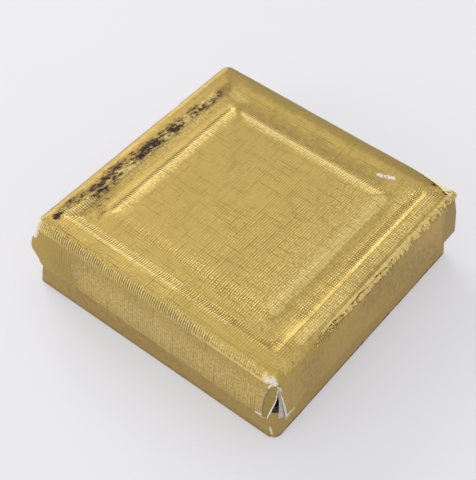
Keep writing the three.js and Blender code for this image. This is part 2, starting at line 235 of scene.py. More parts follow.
def make_linen_weave():
    group, given, result = group_with(
        "Linen weave",
        [("Place", "NodeSocketVector"), ("Pitch", "NodeSocketFloat"), ("Teeth", "NodeSocketFloat")],
        [("Height", "NodeSocketFloat"), ("Furrow", "NodeSocketFloat"), ("Tone", "NodeSocketFloat")],
    )
    place, teeth = given.outputs["Place"], given.outputs["Teeth"]
    flat = add_node(group, "ShaderNodeSeparateXYZ", Vector=place)
    lines = []
    for axis, other, seed in (("X", "Y", 0.0), ("Y", "X", 40.0)):
        spot = add_node(group, "ShaderNodeCombineXYZ", Z=seed)
        put(group, spot.inputs["X"], sums(group, "MULTIPLY", flat.outputs[axis], UNEVEN_ACROSS))
        put(group, spot.inputs["Y"], sums(group, "MULTIPLY", flat.outputs[other], UNEVEN_ALONG))
        uneven = speckle(group, spot.outputs[0], 1.0, 1.0)
        even = sums(group, "DIVIDE", flat.outputs[axis], given.outputs["Pitch"])
        lines.append(sums(group, "MULTIPLY_ADD", uneven, UNEVEN_SHARE, even))
    aside = [sums(group, "ABSOLUTE", flat.outputs[axis]) for axis in "XY"]
    facing = soft_step(group, sums(group, "SUBTRACT", *aside), -1.0, 1.0)
    turned = sums(group, "MULTIPLY", teeth, sums(group, "MULTIPLY_ADD", facing, 2.0, -1.0))
    weights = [sums(group, "MULTIPLY_ADD", turned, share, 1.0) for share in (-TEETH_LEAN, TEETH_LEAN)]
    first = thread_set(group, lines[0], flat.outputs["Y"], 2.5, teeth)
    second = thread_set(group, lines[1], flat.outputs["X"], 8.5, teeth)
    heights = [sums(group, "MULTIPLY", made[0], weight) for made, weight in zip((first, second), weights)]
    put(group, result.inputs["Height"], sums(group, "SUBTRACT", sums(group, "ADD", *heights), MEAN_HEIGHT))
    gaps = [sums(group, "MULTIPLY", made[1], weight) for made, weight in zip((first, second), weights)]
    deepest = sums(group, "MAXIMUM", sums(group, "MULTIPLY", gaps[0], CROSS_SHARE), gaps[1])
    put(group, result.inputs["Furrow"], sums(group, "MINIMUM", deepest, 1.0))
    put(group, result.inputs["Tone"], sums(group, "MULTIPLY", sums(group, "ADD", first[2], second[2]), 0.5))
    return group


LINEN_WEAVE = make_linen_weave()
print("linen weave:", len(LINEN_WEAVE.nodes), "nodes")

# %% [markdown]
# ## Worn and painted patches
# Wear, and painted light and shade, go on the mesh as soft amounts. A plain amount would fade like an
# airbrush, so this group lets a fine noise decide where the amount wins. Half an amount then means that half
# of the specks take it.

# %% Broken patch group


def make_broken_patch():
    group, given, result = group_with(
        "Broken patch",
        [("Place", "NodeSocketVector"), ("Amount", "NodeSocketFloat"), ("Scale", "NodeSocketFloat"),
         ("Softness", "NodeSocketFloat")],
        [("Mask", "NodeSocketFloat")],
    )
    grain = add_node(group, "ShaderNodeTexNoise", Vector=given.outputs["Place"], Detail=4.0, Roughness=0.72)
    put(group, grain.inputs["Scale"], given.outputs["Scale"])
    swing = sums(group, "MULTIPLY_ADD", grain.outputs["Fac"], 2.0, -1.0)
    level = sums(group, "ADD", given.outputs["Amount"], swing)
    low = sums(group, "SUBTRACT", 0.5, given.outputs["Softness"])
    high = sums(group, "ADD", 0.5, given.outputs["Softness"])
    put(group, result.inputs["Mask"], soft_step(group, level, low, high))
    return group


BROKEN_PATCH = make_broken_patch()


def speckled_amount(tree, place, amount, scale, softness):
    made = add_node(tree, "ShaderNodeGroup", {"node_tree": BROKEN_PATCH}, Place=place, Amount=amount)
    made.inputs["Scale"].default_value = scale
    made.inputs["Softness"].default_value = softness
    return made.outputs["Mask"]


def linen(tree, place, pitch, teeth=0.0):
    made = add_node(tree, "ShaderNodeGroup", {"node_tree": LINEN_WEAVE}, Place=place, Pitch=pitch)
    put(tree, made.inputs["Teeth"], teeth)
    return made.outputs


print("broken patch ready")

# %% [markdown]
# ## Gilt paper
# The gilding is a bronze powder in varnish, so it is part metal, part matt. Bare paper is off-white, soot and
# tarnish, and painted shadow lines, are nearly black with a violet cast and lie in short streaks, and grime
# and painted shade are olive, also in the weave's furrows. Rubbed gilding and painted highlights are
# brighter, on the ridges only. Painted shade also darkens the left of the lid and browns the right side of
# lid and base. Soot, painted shadow and bare paper take the metal away.

# %% Gilt paper finish
WEAVE_PITCH = 0.5
GOLD_LIGHT = colour(0.616, 0.443, 0.128)
GOLD_DARK = colour(0.511, 0.356, 0.100)
BASE_GOLD_LIGHT = colour(0.52, 0.365, 0.130)
BASE_GOLD_DARK = colour(0.42, 0.285, 0.095)
SOOT_AND_SHADOW = colour(0.030, 0.018, 0.016)
SOOT_AND_SHADOW_VIOLET = colour(0.075, 0.045, 0.045)
SCORCHED_AND_SHADED = colour(0.13, 0.070, 0.028)
GRIME_AND_SHADE = colour(0.20, 0.150, 0.050)
OLIVE = colour(0.13, 0.092, 0.022)
BARE_PAPER = colour(0.84, 0.77, 0.64)
RUBBED_AND_HIGHLIGHT = colour(0.98, 0.76, 0.30)
PAINTED_SHADE_BROWN = colour(0.53, 0.34, 0.085)
SOOT_AND_SHADOW_SLANT = math.radians(11)
SOOT_AND_SHADOW_STRETCH = (0.8, 1.9, 1.0)

# How fine the specks of each kind of wear and of painted light and shade are, and how soft their edges.
RUB_AND_HIGHLIGHT_SPECKS, GRIME_AND_SHADE_SPECKS, BARE_SPECKS = (1.8, 0.45), (0.9, 0.36), (2.2, 0.16)
SCORCH_AND_SHADE_SPECKS, SOOT_AND_SHADOW_SPECKS = (1.1, 0.30), (1.5, 0.12)
RUB_AND_HIGHLIGHT_SHARE, GRIME_AND_SHADE_SHARE, SCORCH_AND_SHADE_SHARE = 0.95, 0.45, 0.8


def gold_tone_and_painted_shade(tree, weave, cloud, fine, light, dark):
    """The gilding before any wear: clouded, with some threads darker, and darker and browner where shade is
    painted on.
    """
    tone = sums(tree, "MULTIPLY_ADD", cloud, 0.35, sums(tree, "MULTIPLY_ADD", weave["Tone"], 0.5, 0.175))
    tone = sums(tree, "MULTIPLY_ADD", fine, 0.30, sums(tree, "SUBTRACT", tone, 0.15))
    # Painted shade darkens the tone where this amount is painted.
    tone = sums(tree, "MULTIPLY_ADD", measure(tree, "painted_shade"), 0.30, tone)
    gold = blend_colours(tree, soft_step(tree, tone, 0.35, 0.85), light, dark)
    # Painted shade: browner and darker gold on the right side.
    return blend_colours(tree, measure(tree, "painted_shade_brown"), gold, PAINTED_SHADE_BROWN)


def blackening_and_shadow(tree, place):
    """Where the paper is scorched and sooty, and where shadow lines are painted in the same black, all drawn
    out along the lid's edge.
    """
    streaks = add_node(tree, "ShaderNodeMapping", {"vector_type": "TEXTURE"}, Vector=place)
    streaks.inputs["Rotation"].default_value = (0, 0, -SOOT_AND_SHADOW_SLANT)
    streaks.inputs["Scale"].default_value = SOOT_AND_SHADOW_STRETCH
    streaked = streaks.outputs[0]
    cluster = soft_step(tree, speckle(tree, streaked, 0.5, 2.0), 0.35, 0.65)
    soot_and_shadow_amount = sums(tree, "MULTIPLY", measure(tree, "soot_and_shadow"), sums(tree, "MULTIPLY_ADD", cluster, 0.5, 0.72))
    scorch_and_shade = speckled_amount(tree, streaked, sums(tree, "MULTIPLY", soot_and_shadow_amount, 1.15), *SCORCH_AND_SHADE_SPECKS)
    return scorch_and_shade, speckled_amount(tree, streaked, sums(tree, "MULTIPLY", soot_and_shadow_amount, 0.92), *SOOT_AND_SHADOW_SPECKS)


def gilt_paper(name, light, dark, weave_depth, furrow_share):
    material, tree, surface = new_material(name)
    place = sheet_place(tree)
    teeth = measure(tree, "crisp")
    weave = linen(tree, place, WEAVE_PITCH, teeth)
    raised = sums(tree, "SUBTRACT", 1.0, sums(tree, "MULTIPLY", measure(tree, "smooth"), 0.85))
    patch = soft_step(tree, speckle(tree, place, 0.13, 2.0), 0.38, 0.62)
    cloud = speckle(tree, place, 0.16, 4.0)
    fine = speckle(tree, place, 3.2, 3.0)
    gold = gold_tone_and_painted_shade(tree, weave, cloud, fine, light, dark)

    share = sums(tree, "MULTIPLY_ADD", patch, 0.16, furrow_share - 0.08)
    share = sums(tree, "MULTIPLY_ADD", teeth, 0.05, share)
    furrow = sums(tree, "MULTIPLY", sums(tree, "MULTIPLY", weave["Furrow"], share), raised)
    furrow = sums(tree, "MINIMUM", furrow, 1.0)
    # The furrows between threads are darkened in colour: grime, and painted shade where shade falls between
    # the threads.
    gold = blend_colours(tree, furrow, gold, GRIME_AND_SHADE)

    # Rubbed gilding together with painted highlights: brighter gold on the ridges.
    rub_and_highlight = speckled_amount(tree, place, measure(tree, "rub_and_highlight"), *RUB_AND_HIGHLIGHT_SPECKS)
    rub_and_highlight = sums(tree, "MULTIPLY", rub_and_highlight, sums(tree, "MULTIPLY_ADD", furrow, -0.9, 1.0))
    gold = blend_colours(tree, sums(tree, "MULTIPLY", rub_and_highlight, RUB_AND_HIGHLIGHT_SHARE), gold, RUBBED_AND_HIGHLIGHT)
    # Olive grime, together with painted shade.
    grime_and_shade = speckled_amount(tree, place, measure(tree, "grime_and_shade"), *GRIME_AND_SHADE_SPECKS)
    gold = blend_colours(tree, sums(tree, "MULTIPLY", grime_and_shade, GRIME_AND_SHADE_SHARE), gold, GRIME_AND_SHADE)
    # Scorch and soot, together with painted shadow lines, in near-black streaks.
    scorch_and_shade, soot_and_shadow = blackening_and_shadow(tree, place)
    gold = blend_colours(tree, sums(tree, "MULTIPLY", scorch_and_shade, SCORCH_AND_SHADE_SHARE), gold, SCORCHED_AND_SHADED)
    black_and_shadow = blend_colours(tree, soft_step(tree, fine, 0.4, 0.7), SOOT_AND_SHADOW, SOOT_AND_SHADOW_VIOLET)
    gold = blend_colours(tree, soot_and_shadow, gold, black_and_shadow)
    bare = speckled_amount(tree, place, measure(tree, "bare"), *BARE_SPECKS)
    put(tree, surface.inputs["Base Color"], blend_colours(tree, bare, gold, BARE_PAPER))

    lost = sums(tree, "MAXIMUM", soot_and_shadow, bare)
    metal = sums(tree, "MULTIPLY_ADD", cloud, -0.25, 1.0)
    put(tree, surface.inputs["Metallic"], sums(tree, "MULTIPLY", sums(tree, "SUBTRACT", 1.0, lost), metal))
    surface.inputs["Specular IOR Level"].default_value = 0.2
    rough = sums(tree, "MULTIPLY_ADD", fine, 0.20, 0.38)
    put(tree, surface.inputs["Roughness"], sums(tree, "MULTIPLY_ADD", lost, 0.35, rough))
    crisp = sums(tree, "MULTIPLY_ADD", teeth, 2.0, sums(tree, "MULTIPLY_ADD", patch, 0.35, 0.50))
    height = sums(tree, "MULTIPLY", sums(tree, "MULTIPLY", weave["Height"], raised), crisp)
    height = sums(tree, "MULTIPLY_ADD", fine, 0.4, height)
    put(tree, surface.inputs["Normal"], relief(tree, height, weave_depth))
    return material


LID_GILT = gilt_paper("lid gilt paper", GOLD_LIGHT, GOLD_DARK, 0.045, 0.98)
BASE_GILT = gilt_paper("base gilt paper", BASE_GOLD_LIGHT, BASE_GOLD_DARK, 0.018, 0.45)
print("gilt finishes:", LID_GILT.name, "and", BASE_GILT.name)

# %% [markdown]
# ## Card, lining and torn paper
# Greyboard is pulped rags and straw: flecked, fibrous, a little furry where it is cut. The card is buff, the
# lining paper is aged white, and the torn edges show the wrap's pale core. The card's torn end is greyboard
# painted much paler, as painted light on it. Each row gives a light tone, a dark tone and the flecks' colour,
# then the grain's scale, its relief in millimetres and the roughness.

# %% Plain paper and card finishes
PLAIN_FINISHES = {
    "greyboard": ((0.36, 0.335, 0.30), (0.24, 0.22, 0.19), (0.14, 0.12, 0.10), 2.4, 0.05, 0.92),
    "buff card": ((0.64, 0.57, 0.44), (0.54, 0.46, 0.33), (0.40, 0.32, 0.20), 1.2, 0.02, 0.86),
    "lining paper": ((0.80, 0.76, 0.66), (0.70, 0.645, 0.53), (0.58, 0.50, 0.37), 0.35, 0.012, 0.80),
    "torn paper": ((0.86, 0.83, 0.77), (0.66, 0.60, 0.50), (0.55, 0.43, 0.22), 3.0, 0.03, 0.90),
    "peeled paper": ((0.93, 0.86, 0.58), (0.80, 0.70, 0.40), (0.55, 0.43, 0.20), 2.0, 0.02, 0.85),
    # The card's torn end: greyboard painted much paler, as painted light.
    "torn board painted pale": ((0.70, 0.665, 0.61), (0.44, 0.41, 0.37), (0.32, 0.29, 0.25), 3.0, 0.05, 0.92),
}


def fibrous(name):
    light, dark, fleck, grain_scale, depth, roughness = PLAIN_FINISHES[name]
    material, tree, surface = new_material(name)
    place = place_in_mm(tree)
    coarse = speckle(tree, place, grain_scale, 5.0, 0.7)
    strand = add_node(tree, "ShaderNodeMapping", Vector=place)
    strand.inputs["Scale"].default_value = (0.5, 3.0, 3.0)
    fibres = speckle(tree, strand.outputs[0], 1.6, 3.0)
    tint = blend_colours(tree, soft_step(tree, coarse, 0.3, 0.7), colour(*dark), colour(*light))
    flecks = soft_step(tree, fibres, 0.66, 0.74)
    put(tree, surface.inputs["Base Color"], blend_colours(tree, flecks, tint, colour(*fleck)))
    put(tree, surface.inputs["Roughness"], sums(tree, "MULTIPLY_ADD", coarse, 0.15, roughness - 0.08))
    surface.inputs["Specular IOR Level"].default_value = 0.25
    height = sums(tree, "ADD", coarse, fibres)
    put(tree, surface.inputs["Normal"], relief(tree, height, depth))
    return material


GREYBOARD, BUFF_CARD, LINING_PAPER, TORN_PAPER, PEELED_PAPER, TORN_BOARD_PAINTED_PALE = map(fibrous, PLAIN_FINISHES)
print("plain finishes:", ", ".join(PLAIN_FINISHES))

# %% [markdown]
# ## Rounded squares
# Every sheet here is a square with rounded corners, seen from above. One function walks round such a square
# from the middle of the front corner and gives the place at any distance. The four corners have their own
# radii, because the left one is knocked in.

# %% Walking round a rounded square
FRONT, RIGHT, BACK, LEFT = range(4)
SMALLEST = 1e-5
ARC_CENTRES = np.array([(1, -1), (0, 0), (1, 1), (0, 0), (-1, 1), (0, 0), (-1, -1), (0, 0), (1, -1)], float)
ARC_STARTS = np.radians([-45, 0, 0, 0, 90, 0, 180, 0, 270])
ARC_CORNERS = [FRONT, -1, RIGHT, -1, BACK, -1, LEFT, -1, FRONT]
SIDE_OUT = {1: (1, 0), 3: (0, 1), 5: (-1, 0), 7: (0, -1)}


def run_lengths(half, radii):
    front, right, back, left = radii
    quarter = math.pi / 2
    return np.array([
        front * quarter / 2, 2 * half - front - right,
        right * quarter, 2 * half - right - back,
        back * quarter, 2 * half - back - left,
        left * quarter, 2 * half - left - front,
        front * quarter / 2,
    ])


def walk_square(half, radii, travel):
    """Places on a rounded square at distances from the middle of its front corner, anticlockwise."""
    lengths = run_lengths(half, radii)
    starts = np.concatenate([[0], np.cumsum(lengths)[:-1]])
    which = np.clip(np.searchsorted(starts, travel, side="right") - 1, 0, 8)
    local = travel - starts[which]
    places = np.zeros((len(travel), 2))
    for part in range(9):
        chosen = which == part
        if part in SIDE_OUT:
            out = np.array(SIDE_OUT[part], float)
            ahead = np.array((-out[1], out[0]))
            corner = radii[(part - 1) // 2]
            begin = out * half - ahead * (half - corner)
            places[chosen] = begin + local[chosen, None] * ahead
        else:
            radius = radii[ARC_CORNERS[part]]
            turn = ARC_STARTS[part] + local[chosen] / radius
            centre = ARC_CENTRES[part] * (half - radius)
            places[chosen] = centre + radius * np.stack([np.cos(turn), np.sin(turn)], 1)
    return places


EVEN_CORNERS = (1.0,) * 4
half_way = run_lengths(30, EVEN_CORNERS).sum() / 2
print("half a turn of a 60 mm square ends at", walk_square(30, EVEN_CORNERS, np.array([half_way])))

# %% [markdown]
# ## A folded sheet
# A wrap is one sheet of paper folded over a card tray. Its grid has rows along the section, from the middle
# of the top, over the edge, down the wall, round the rim and up inside, and columns round the box. A row can
# be open at the front corner: its columns are then pushed back on both sides, which makes the split. The UV
# map holds the unrolled sheet in millimetres, so that the weave runs true over every fold.

# %% Building a folded sheet
SPLIT_REACH = 8.0
PER_ARC = 8


def round_columns(counts, pull):
    """Columns as (part, share) pairs. The sides next to the front corner are denser towards it."""
    columns = []
    for part in range(9):
        count = PER_ARC if part % 2 == 0 else counts[(part - 1) // 2]
        shares = np.arange(count) / count
        if part == 1:
            shares = shares ** pull
        if part == 7:
            shares = 1 - (1 - shares) ** pull
        columns += [(part, share) for share in shares]
    return columns + [(8, 1.0)]


def column_travel(row, columns):
    lengths = run_lengths(row["half"], row["radii"])
    starts = np.concatenate([[0], np.cumsum(lengths)[:-1]])
    parts = np.array([part for part, _ in columns])
    shares = np.array([share for _, share in columns])
    travel = starts[parts] + shares * lengths[parts]
    total = lengths.sum()
    right, left = row.get("split", (0.0, 0.0))
    ahead = travel < SPLIT_REACH
    travel = np.where(ahead, right + travel * (SPLIT_REACH - right) / SPLIT_REACH, travel)
    behind = total - travel
    near = behind < SPLIT_REACH
    return np.where(near, total - left - behind * (SPLIT_REACH - left) / SPLIT_REACH, travel), total


def side_of(columns):
    """The side that the strip between each column and the next lies on."""
    sides = []
    for part, share in columns[:-1]:
        if part % 2 == 1:
            sides.append((part - 1) // 2)
        elif part in (0, 8):
            sides.append(0 if part == 0 else 3)
        else:
            sides.append((part // 2 - 1 if share < 0.5 else part // 2) % 4)
    return sides


def unrolled(side, run, along):
    turns = {0: (run, along), 1: (-along, run), 2: (-run, -along), 3: (along, -run)}
    return turns[side]


def folded_sheet(rows, columns, outward=True):
    """The grid's points in millimetres, its faces, and each face's corners on the unrolled sheet."""
    points, sheet = [], []
    for row in rows:
        travel, total = column_travel(row, columns)
        flat = walk_square(row["half"], row["radii"], travel)
        alongs = travel[:, None] - total * (np.arange(4) * 2 + 1) / 8
        level = row.get("level", False)
        sheet.append([[place if level else unrolled(side, row["run"], alongs[k, side]) for side in range(4)]
                      for k, place in enumerate(flat)])
        points.append(np.column_stack([flat, np.full(len(columns), row["z"])]))
    count = len(columns)
    sides = side_of(columns)
    faces, corners = [], []
    for i in range(len(rows) - 1):
        for j in range(count - 1):
            square = [(i, j), (i + 1, j), (i + 1, j + 1), (i, j + 1)]
            if not outward:
                square.reverse()
            faces.append([a * count + b for a, b in square])
            corners += [sheet[a][b][sides[j]] for a, b in square]
    return np.concatenate(points), faces, corners


def with_runs(rows):
    """Adds to each row how far along the section it lies, starting from its own half-width."""
    run = rows[0]["half"]
    for before, row in zip([rows[0]] + rows, rows):
        run += math.hypot(row["half"] - before["half"], row["z"] - before["z"])
        row["run"] = run
    return rows


print("columns on a plain sheet:", len(round_columns((60, 40, 40, 60), 1.5)))

# %% [markdown]
# ## Pieces from points
# A piece's mesh holds its place, so its object stays at the origin. Solidify then gives the paper its
# thickness, on the inside, and the cut edges get the pale core of the paper as a second material.

# %% Making a piece


def mesh_piece(name, points_mm, faces, materials):
    mesh = bpy.data.meshes.new(name)
    mesh.from_pydata([tuple(p) for p in np.asarray(points_mm) * MM], [], faces)
    for material in materials:
        mesh.materials.append(material)
    piece = bpy.data.objects.new(name, mesh)
    scene.collection.objects.link(piece)
    return piece


def grid_faces(long_count, short_count, flipped=False):
    """The faces of a plain grid of points, row after row."""
    square = (0, 1, short_count + 1, short_count) if flipped else (0, short_count, short_count + 1, 1)
    return [[i * short_count + j + step for step in square]
            for i in range(long_count - 1) for j in range(short_count - 1)]


def set_amount(mesh, name, values):
    attribute = mesh.attributes.new(name, "FLOAT", "POINT")
    attribute.data.foreach_set("value", np.asarray(values, np.float32))


def set_unrolled(mesh, corners):
    layer = mesh.uv_layers.new(name="sheet")
    layer.data.foreach_set("uv", np.asarray(corners, np.float32).ravel())


def weld(mesh, reach_mm=0.001):
    work = bmesh.new()
    work.from_mesh(mesh)
    bmesh.ops.remove_doubles(work, verts=work.verts, dist=reach_mm * MM)
    bmesh.ops.dissolve_degenerate(work, edges=work.edges, dist=reach_mm * MM)
    work.to_mesh(mesh)
    work.free()


def settle(piece, sharp_angle=40):
    """Turns what the modifiers make into the piece's own plain mesh, smooth apart from its folds."""
    graph = bpy.context.evaluated_depsgraph_get()
    mesh = bpy.data.meshes.new_from_object(piece.evaluated_get(graph))
    piece.modifiers.clear()
    piece.data = mesh
    mesh.shade_smooth()
    mesh.set_sharp_from_angle(angle=math.radians(sharp_angle))
    return piece


def give_thickness(piece, thickness_mm, edge_material=1):
    solid = piece.modifiers.new("paper", "SOLIDIFY")
    solid.thickness = thickness_mm * MM
    solid.offset = -1
    solid.use_even_offset = False
    solid.material_offset_rim = edge_material
    return settle(piece)


def hand_over(piece, body, slot, *nodes):
    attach(piece, body)
    if nodes:
        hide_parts(*nodes)
    print(piece.name, "rides on", body, "with", len(piece.data.polygons), "faces")


print("piece helpers ready")

# %% [markdown]
# ## Wear, painted light and painted shade as strokes
# Wear, and painted light and shade, are listed as strokes: a start, an end, a radius and a strength, in
# millimetres on the box. A stroke fades from its middle line outwards, and where strokes meet the stronger
# one counts.

# %% Painting wear, light and shade


def smooth_fall(distance, radius):
    share = np.clip(1.25 * (1 - distance / radius), 0, 1)
    return share * share * (3 - 2 * share)


def stroke_amount(points, start, end, radius, strength):
    start, end = np.array(start, float), np.array(end, float)
    line = end - start
    along = np.clip((points - start) @ line / max(line @ line, SMALLEST), 0, 1)
    distance = np.linalg.norm(points - start - along[:, None] * line, axis=1)
    return strength * smooth_fall(distance, radius)


def paint(mesh, points, strokes, floor_amounts):
    for kind in ("soot_and_shadow", "bare", "grime_and_shade", "smooth", "rub_and_highlight", "crisp", "painted_shade_brown", "painted_shade"):
        amount = np.full(len(points), floor_amounts.get(kind, 0.0))
        for stroke in strokes.get(kind, ()):
            amount = np.maximum(amount, stroke_amount(points, *stroke))
        set_amount(mesh, kind, amount)


def ripple(points, scale, seed):
    shift = Vector((seed * 17.3, seed * 5.1, seed * 9.7))
    return np.array([noise.noise(Vector(p) * scale + shift) for p in points])


print("wear helpers ready")

# %% [markdown]
# ## The lid's wrap
# The lid's paper goes over a flat panel, a pressed hollow frame, a margin and a rounded edge, down a wall
# that splays a little, round the rim and up inside. The front corner has split from the rim nearly to the
# top: the paper has torn back further on the left than on the right. The left corner is knocked in above
# the rim.

# %% Sizes of the lid
lid_low, lid_high = (Vector(v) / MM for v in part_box("lid_wrap"))
TOP_Z = lid_high.z
LID_RIM_Z = lid_low.z
LID_RIM_HALF = lid_high.x
LID_SPLAY = 0.83
LID_EDGE_R = 2.3
LID_SHOULDER_Z = TOP_Z - LID_EDGE_R
LID_SHOULDER_HALF = LID_RIM_HALF - LID_SPLAY
FRONT_CORNER = ((12.5, 1.4), (16.5, 2.0))
PLAIN_CORNER = ((12.5, 1.0), (16.5, 2.2))
KNOCKED_CORNER = ((7.4, 3.3), (10.5, 1.1), (12.5, 1.0), (16.5, 1.5))
PANEL_HALF = 19.2
COVE_WIDTH = 6.0
COVE_DEPTH = 0.52
COVE_SQUARENESS = 2.2
COVE_CORNER_R = 0.9
TURN_IN_INSET = 1.05
TURN_IN_TOP_Z = LID_RIM_Z + 8.0
FOLD_R = 0.1
PAPER = 0.12
SPLIT_TOP_Z = 17.2
TEAR_TOP_Z, TEAR_SLOPE = 17.33, 0.25
LEFT_TEAR_TOP, LEFT_TEAR_MORE, LEFT_TEAR_HEIGHT, LEFT_TEAR_BOW = 1.0, 2.75, 11.4, 2.6


def lid_half(z):
    return LID_SHOULDER_HALF + LID_SPLAY * (LID_SHOULDER_Z - z) / (LID_SHOULDER_Z - LID_RIM_Z)


def lid_radii(z, inset=0.0):
    """The four corners' radii at a height: they grow towards the top, and the left one is knocked in."""
    corners = (FRONT_CORNER, PLAIN_CORNER, PLAIN_CORNER, KNOCKED_CORNER)
    radii = [float(np.interp(z, *zip(*corner))) for corner in corners]
    return tuple(max(radius - inset, SMALLEST) for radius in radii)


def on_edge(side, along, degrees, proud=0.0):
    """A place on the lid's rounded top edge: along a side, and round the edge from the top."""
    turn = math.radians(degrees)
    reach = LID_EDGE_R + proud
    out = LID_SHOULDER_HALF - LID_EDGE_R + reach * math.sin(turn)
    z = LID_SHOULDER_Z + (reach * math.cos(turn) if degrees > 0 else reach)
    places = {
        "right": (out, along, z),
        "far": (along, out, z),
        "left": (-out, along, z),
        "near": (along, -out, z),
    }
    return places[side]


print("lid:", round(2 * LID_RIM_HALF, 2), "mm wide at the rim, wall from", LID_RIM_Z, "to", LID_SHOULDER_Z)

# %% The lid's section as rows


def corner_arc(distance, z):
    """How far a place is round the front corner from its middle, from its distance to the sharp corner."""
    radius = lid_radii(z)[FRONT]
    return max(distance - radius * (1 - math.pi / 4), distance * math.pi / 4 * 0.6)


def right_tear_back(z):
    return max(TEAR_SLOPE * (TEAR_TOP_Z - z), 0.0)


def left_tear_back(z):
    rise = np.clip((z - LID_RIM_Z) / LEFT_TEAR_HEIGHT, 0, 1)
    return LEFT_TEAR_TOP + LEFT_TEAR_MORE * (1 - rise ** LEFT_TEAR_BOW)


def lid_split(z):
    """How far the paper has torn back at a height: on the right wall and on the left wall."""
    if z > SPLIT_TOP_Z:
        return 0.0, 0.0
    ragged = noise.noise(Vector((0, 4.1, z * 2.1))), noise.noise(Vector((9.3, 0, z * 2.7)))
    closing = min((SPLIT_TOP_Z - z) / 0.5, 1.0)
    right = right_tear_back(z) + 0.10 * ragged[0]
    left = left_tear_back(z) + 0.14 * ragged[1]
    return max(corner_arc(right, z), 0.0) * closing, max(corner_arc(left, z), 0.0) * closing


def cove_drop(share):
    return COVE_DEPTH * (1 - abs(2 * share - 1) ** COVE_SQUARENESS)


def lid_rows():
    rows = []

    def row(half, z, radii, split=False, level=False):
        torn = lid_split(z) if split else (0.0, 0.0)
        rows.append({"half": half, "z": z, "radii": radii, "split": torn, "level": level})

    for share in np.linspace(0, 1, 9)[:-1]:
        half = max(PANEL_HALF * share, 2 * SMALLEST)
        row(half, TOP_Z, (min(COVE_CORNER_R, half / 2),) * 4, level=True)
    for turn in np.linspace(0, math.pi, 25):
        share = (1 - math.cos(turn)) / 2
        row(PANEL_HALF + share * COVE_WIDTH, TOP_Z - cove_drop(share), (COVE_CORNER_R,) * 4)
    margin, margin_end = PANEL_HALF + COVE_WIDTH, LID_SHOULDER_HALF - LID_EDGE_R
    for share in np.linspace(0, 1, 6)[1:]:
        row(margin + share * (margin_end - margin), TOP_Z, (COVE_CORNER_R,) * 4)
    for turn in np.linspace(0, math.pi / 2, 14)[1:]:
        reach = LID_EDGE_R * (1 - math.sin(turn))
        z = LID_SHOULDER_Z + LID_EDGE_R * math.cos(turn)
        radii = tuple(max(r - reach, 0.3) for r in lid_radii(z))
        row(LID_SHOULDER_HALF - reach, z, radii, True)
    for z in np.linspace(LID_SHOULDER_Z, LID_RIM_Z + FOLD_R, 38)[1:]:
        row(lid_half(z), z, lid_radii(z), True)
    rim = LID_RIM_Z
    row(lid_half(rim) - FOLD_R, rim, lid_radii(rim, FOLD_R), True)
    row(lid_half(rim) - TURN_IN_INSET + FOLD_R, rim, lid_radii(rim, TURN_IN_INSET - FOLD_R), True)
    for z in np.linspace(rim + FOLD_R, TURN_IN_TOP_Z, 9):
        row(lid_half(z) - TURN_IN_INSET, z, lid_radii(z, TURN_IN_INSET), True)
    return with_runs(rows)


LID_ROWS = lid_rows()
LID_COLUMNS = round_columns((118, 82, 66, 108), 1.45)
print("lid sheet:", len(LID_ROWS), "rows and", len(LID_COLUMNS), "columns")

# %% [markdown]
# ## Knocks and ripples in the lid
# Old paper is never flat. Slow noise moves the sheet by a few hundredths of a millimetre, the knocked-in
# corner bulges above its dent, and the edge on the right is roughened. Moves inwards stay smaller than the
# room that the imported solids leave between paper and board.

# %% Shaping the lid's sheet
BULGE_Z, BULGE_HEIGHT, BULGE_OUT, BULGE_REACH = 11.5, 3.2, 0.70, 5.5
RIPPLE_DEPTH = 0.05
ROUGH_EDGE_FROM, ROUGH_EDGE_TO = -17.0, 28.0
ROUGH_EDGE_DEPTH = 0.09


def outwards_of(points, faces):
    mesh = bpy.data.meshes.new("measure")
    mesh.from_pydata([tuple(p) for p in points], [], faces)
    normals = np.zeros(len(points) * 3)
    mesh.vertex_normals.foreach_get("vector", normals)
    bpy.data.meshes.remove(mesh)
    return normals.reshape(-1, 3)


def shape_lid(points, faces):
    out = outwards_of(points, faces)
    outer = np.maximum(np.abs(points[:, 0]), np.abs(points[:, 1]))
    walls = np.array([lid_half(z) for z in points[:, 2]])
    skin = (outer > walls - TURN_IN_INSET / 2) | (points[:, 2] > TURN_IN_TOP_Z)
    move = RIPPLE_DEPTH * ripple(points, 0.16, 1) + 0.5 * RIPPLE_DEPTH * ripple(points, 0.5, 2)
    middle = on_edge("right", 0, 45)
    frayed = smooth_fall(np.hypot(points[:, 0] - middle[0], points[:, 2] - middle[2]), 1.6)
    frayed *= (points[:, 1] > ROUGH_EDGE_FROM) & (points[:, 1] < ROUGH_EDGE_TO)
    move += frayed * ROUGH_EDGE_DEPTH * (ripple(points, 1.7, 3) + 0.6 * ripple(points, 3.4, 4))
    points = points + out * (move * skin)[:, None]
    corner = np.hypot(points[:, 0] + LID_SHOULDER_HALF, points[:, 1] + LID_SHOULDER_HALF)
    rise = np.exp(-((points[:, 2] - BULGE_Z) / BULGE_HEIGHT) ** 2)
    bulge = BULGE_OUT * smooth_fall(corner, BULGE_REACH) * rise
    points[:, :2] -= (bulge * skin)[:, None] / math.sqrt(2)
    return points


print("the lid's corner bulges by", BULGE_OUT, "mm over its dent")

# %% [markdown]
# ## Wear, painted light and painted shade on the lid
# Going round the photograph: black tarnish in a long broken band along the left margin, with olive grime,
# painted shade and a thin dark line on the edge beyond it, white paper at the left and front corners, a pale
# scratch in the far hollow, grime along the far side with a painted shadow line under the peeled strip,
# bright rubbed ridges round the hollow and along the near edge with painted highlights there, on the near
# wall and on the panel's right half, painted shade dimming the highlight in the hollow's front corner, and
# smoothed paper round the knocked-in corner.
# The right wall is browner and darker with painted shade, and the left of the lid is darker with painted
# shade.

# %% Where the lid is worn, and where light and shade are painted

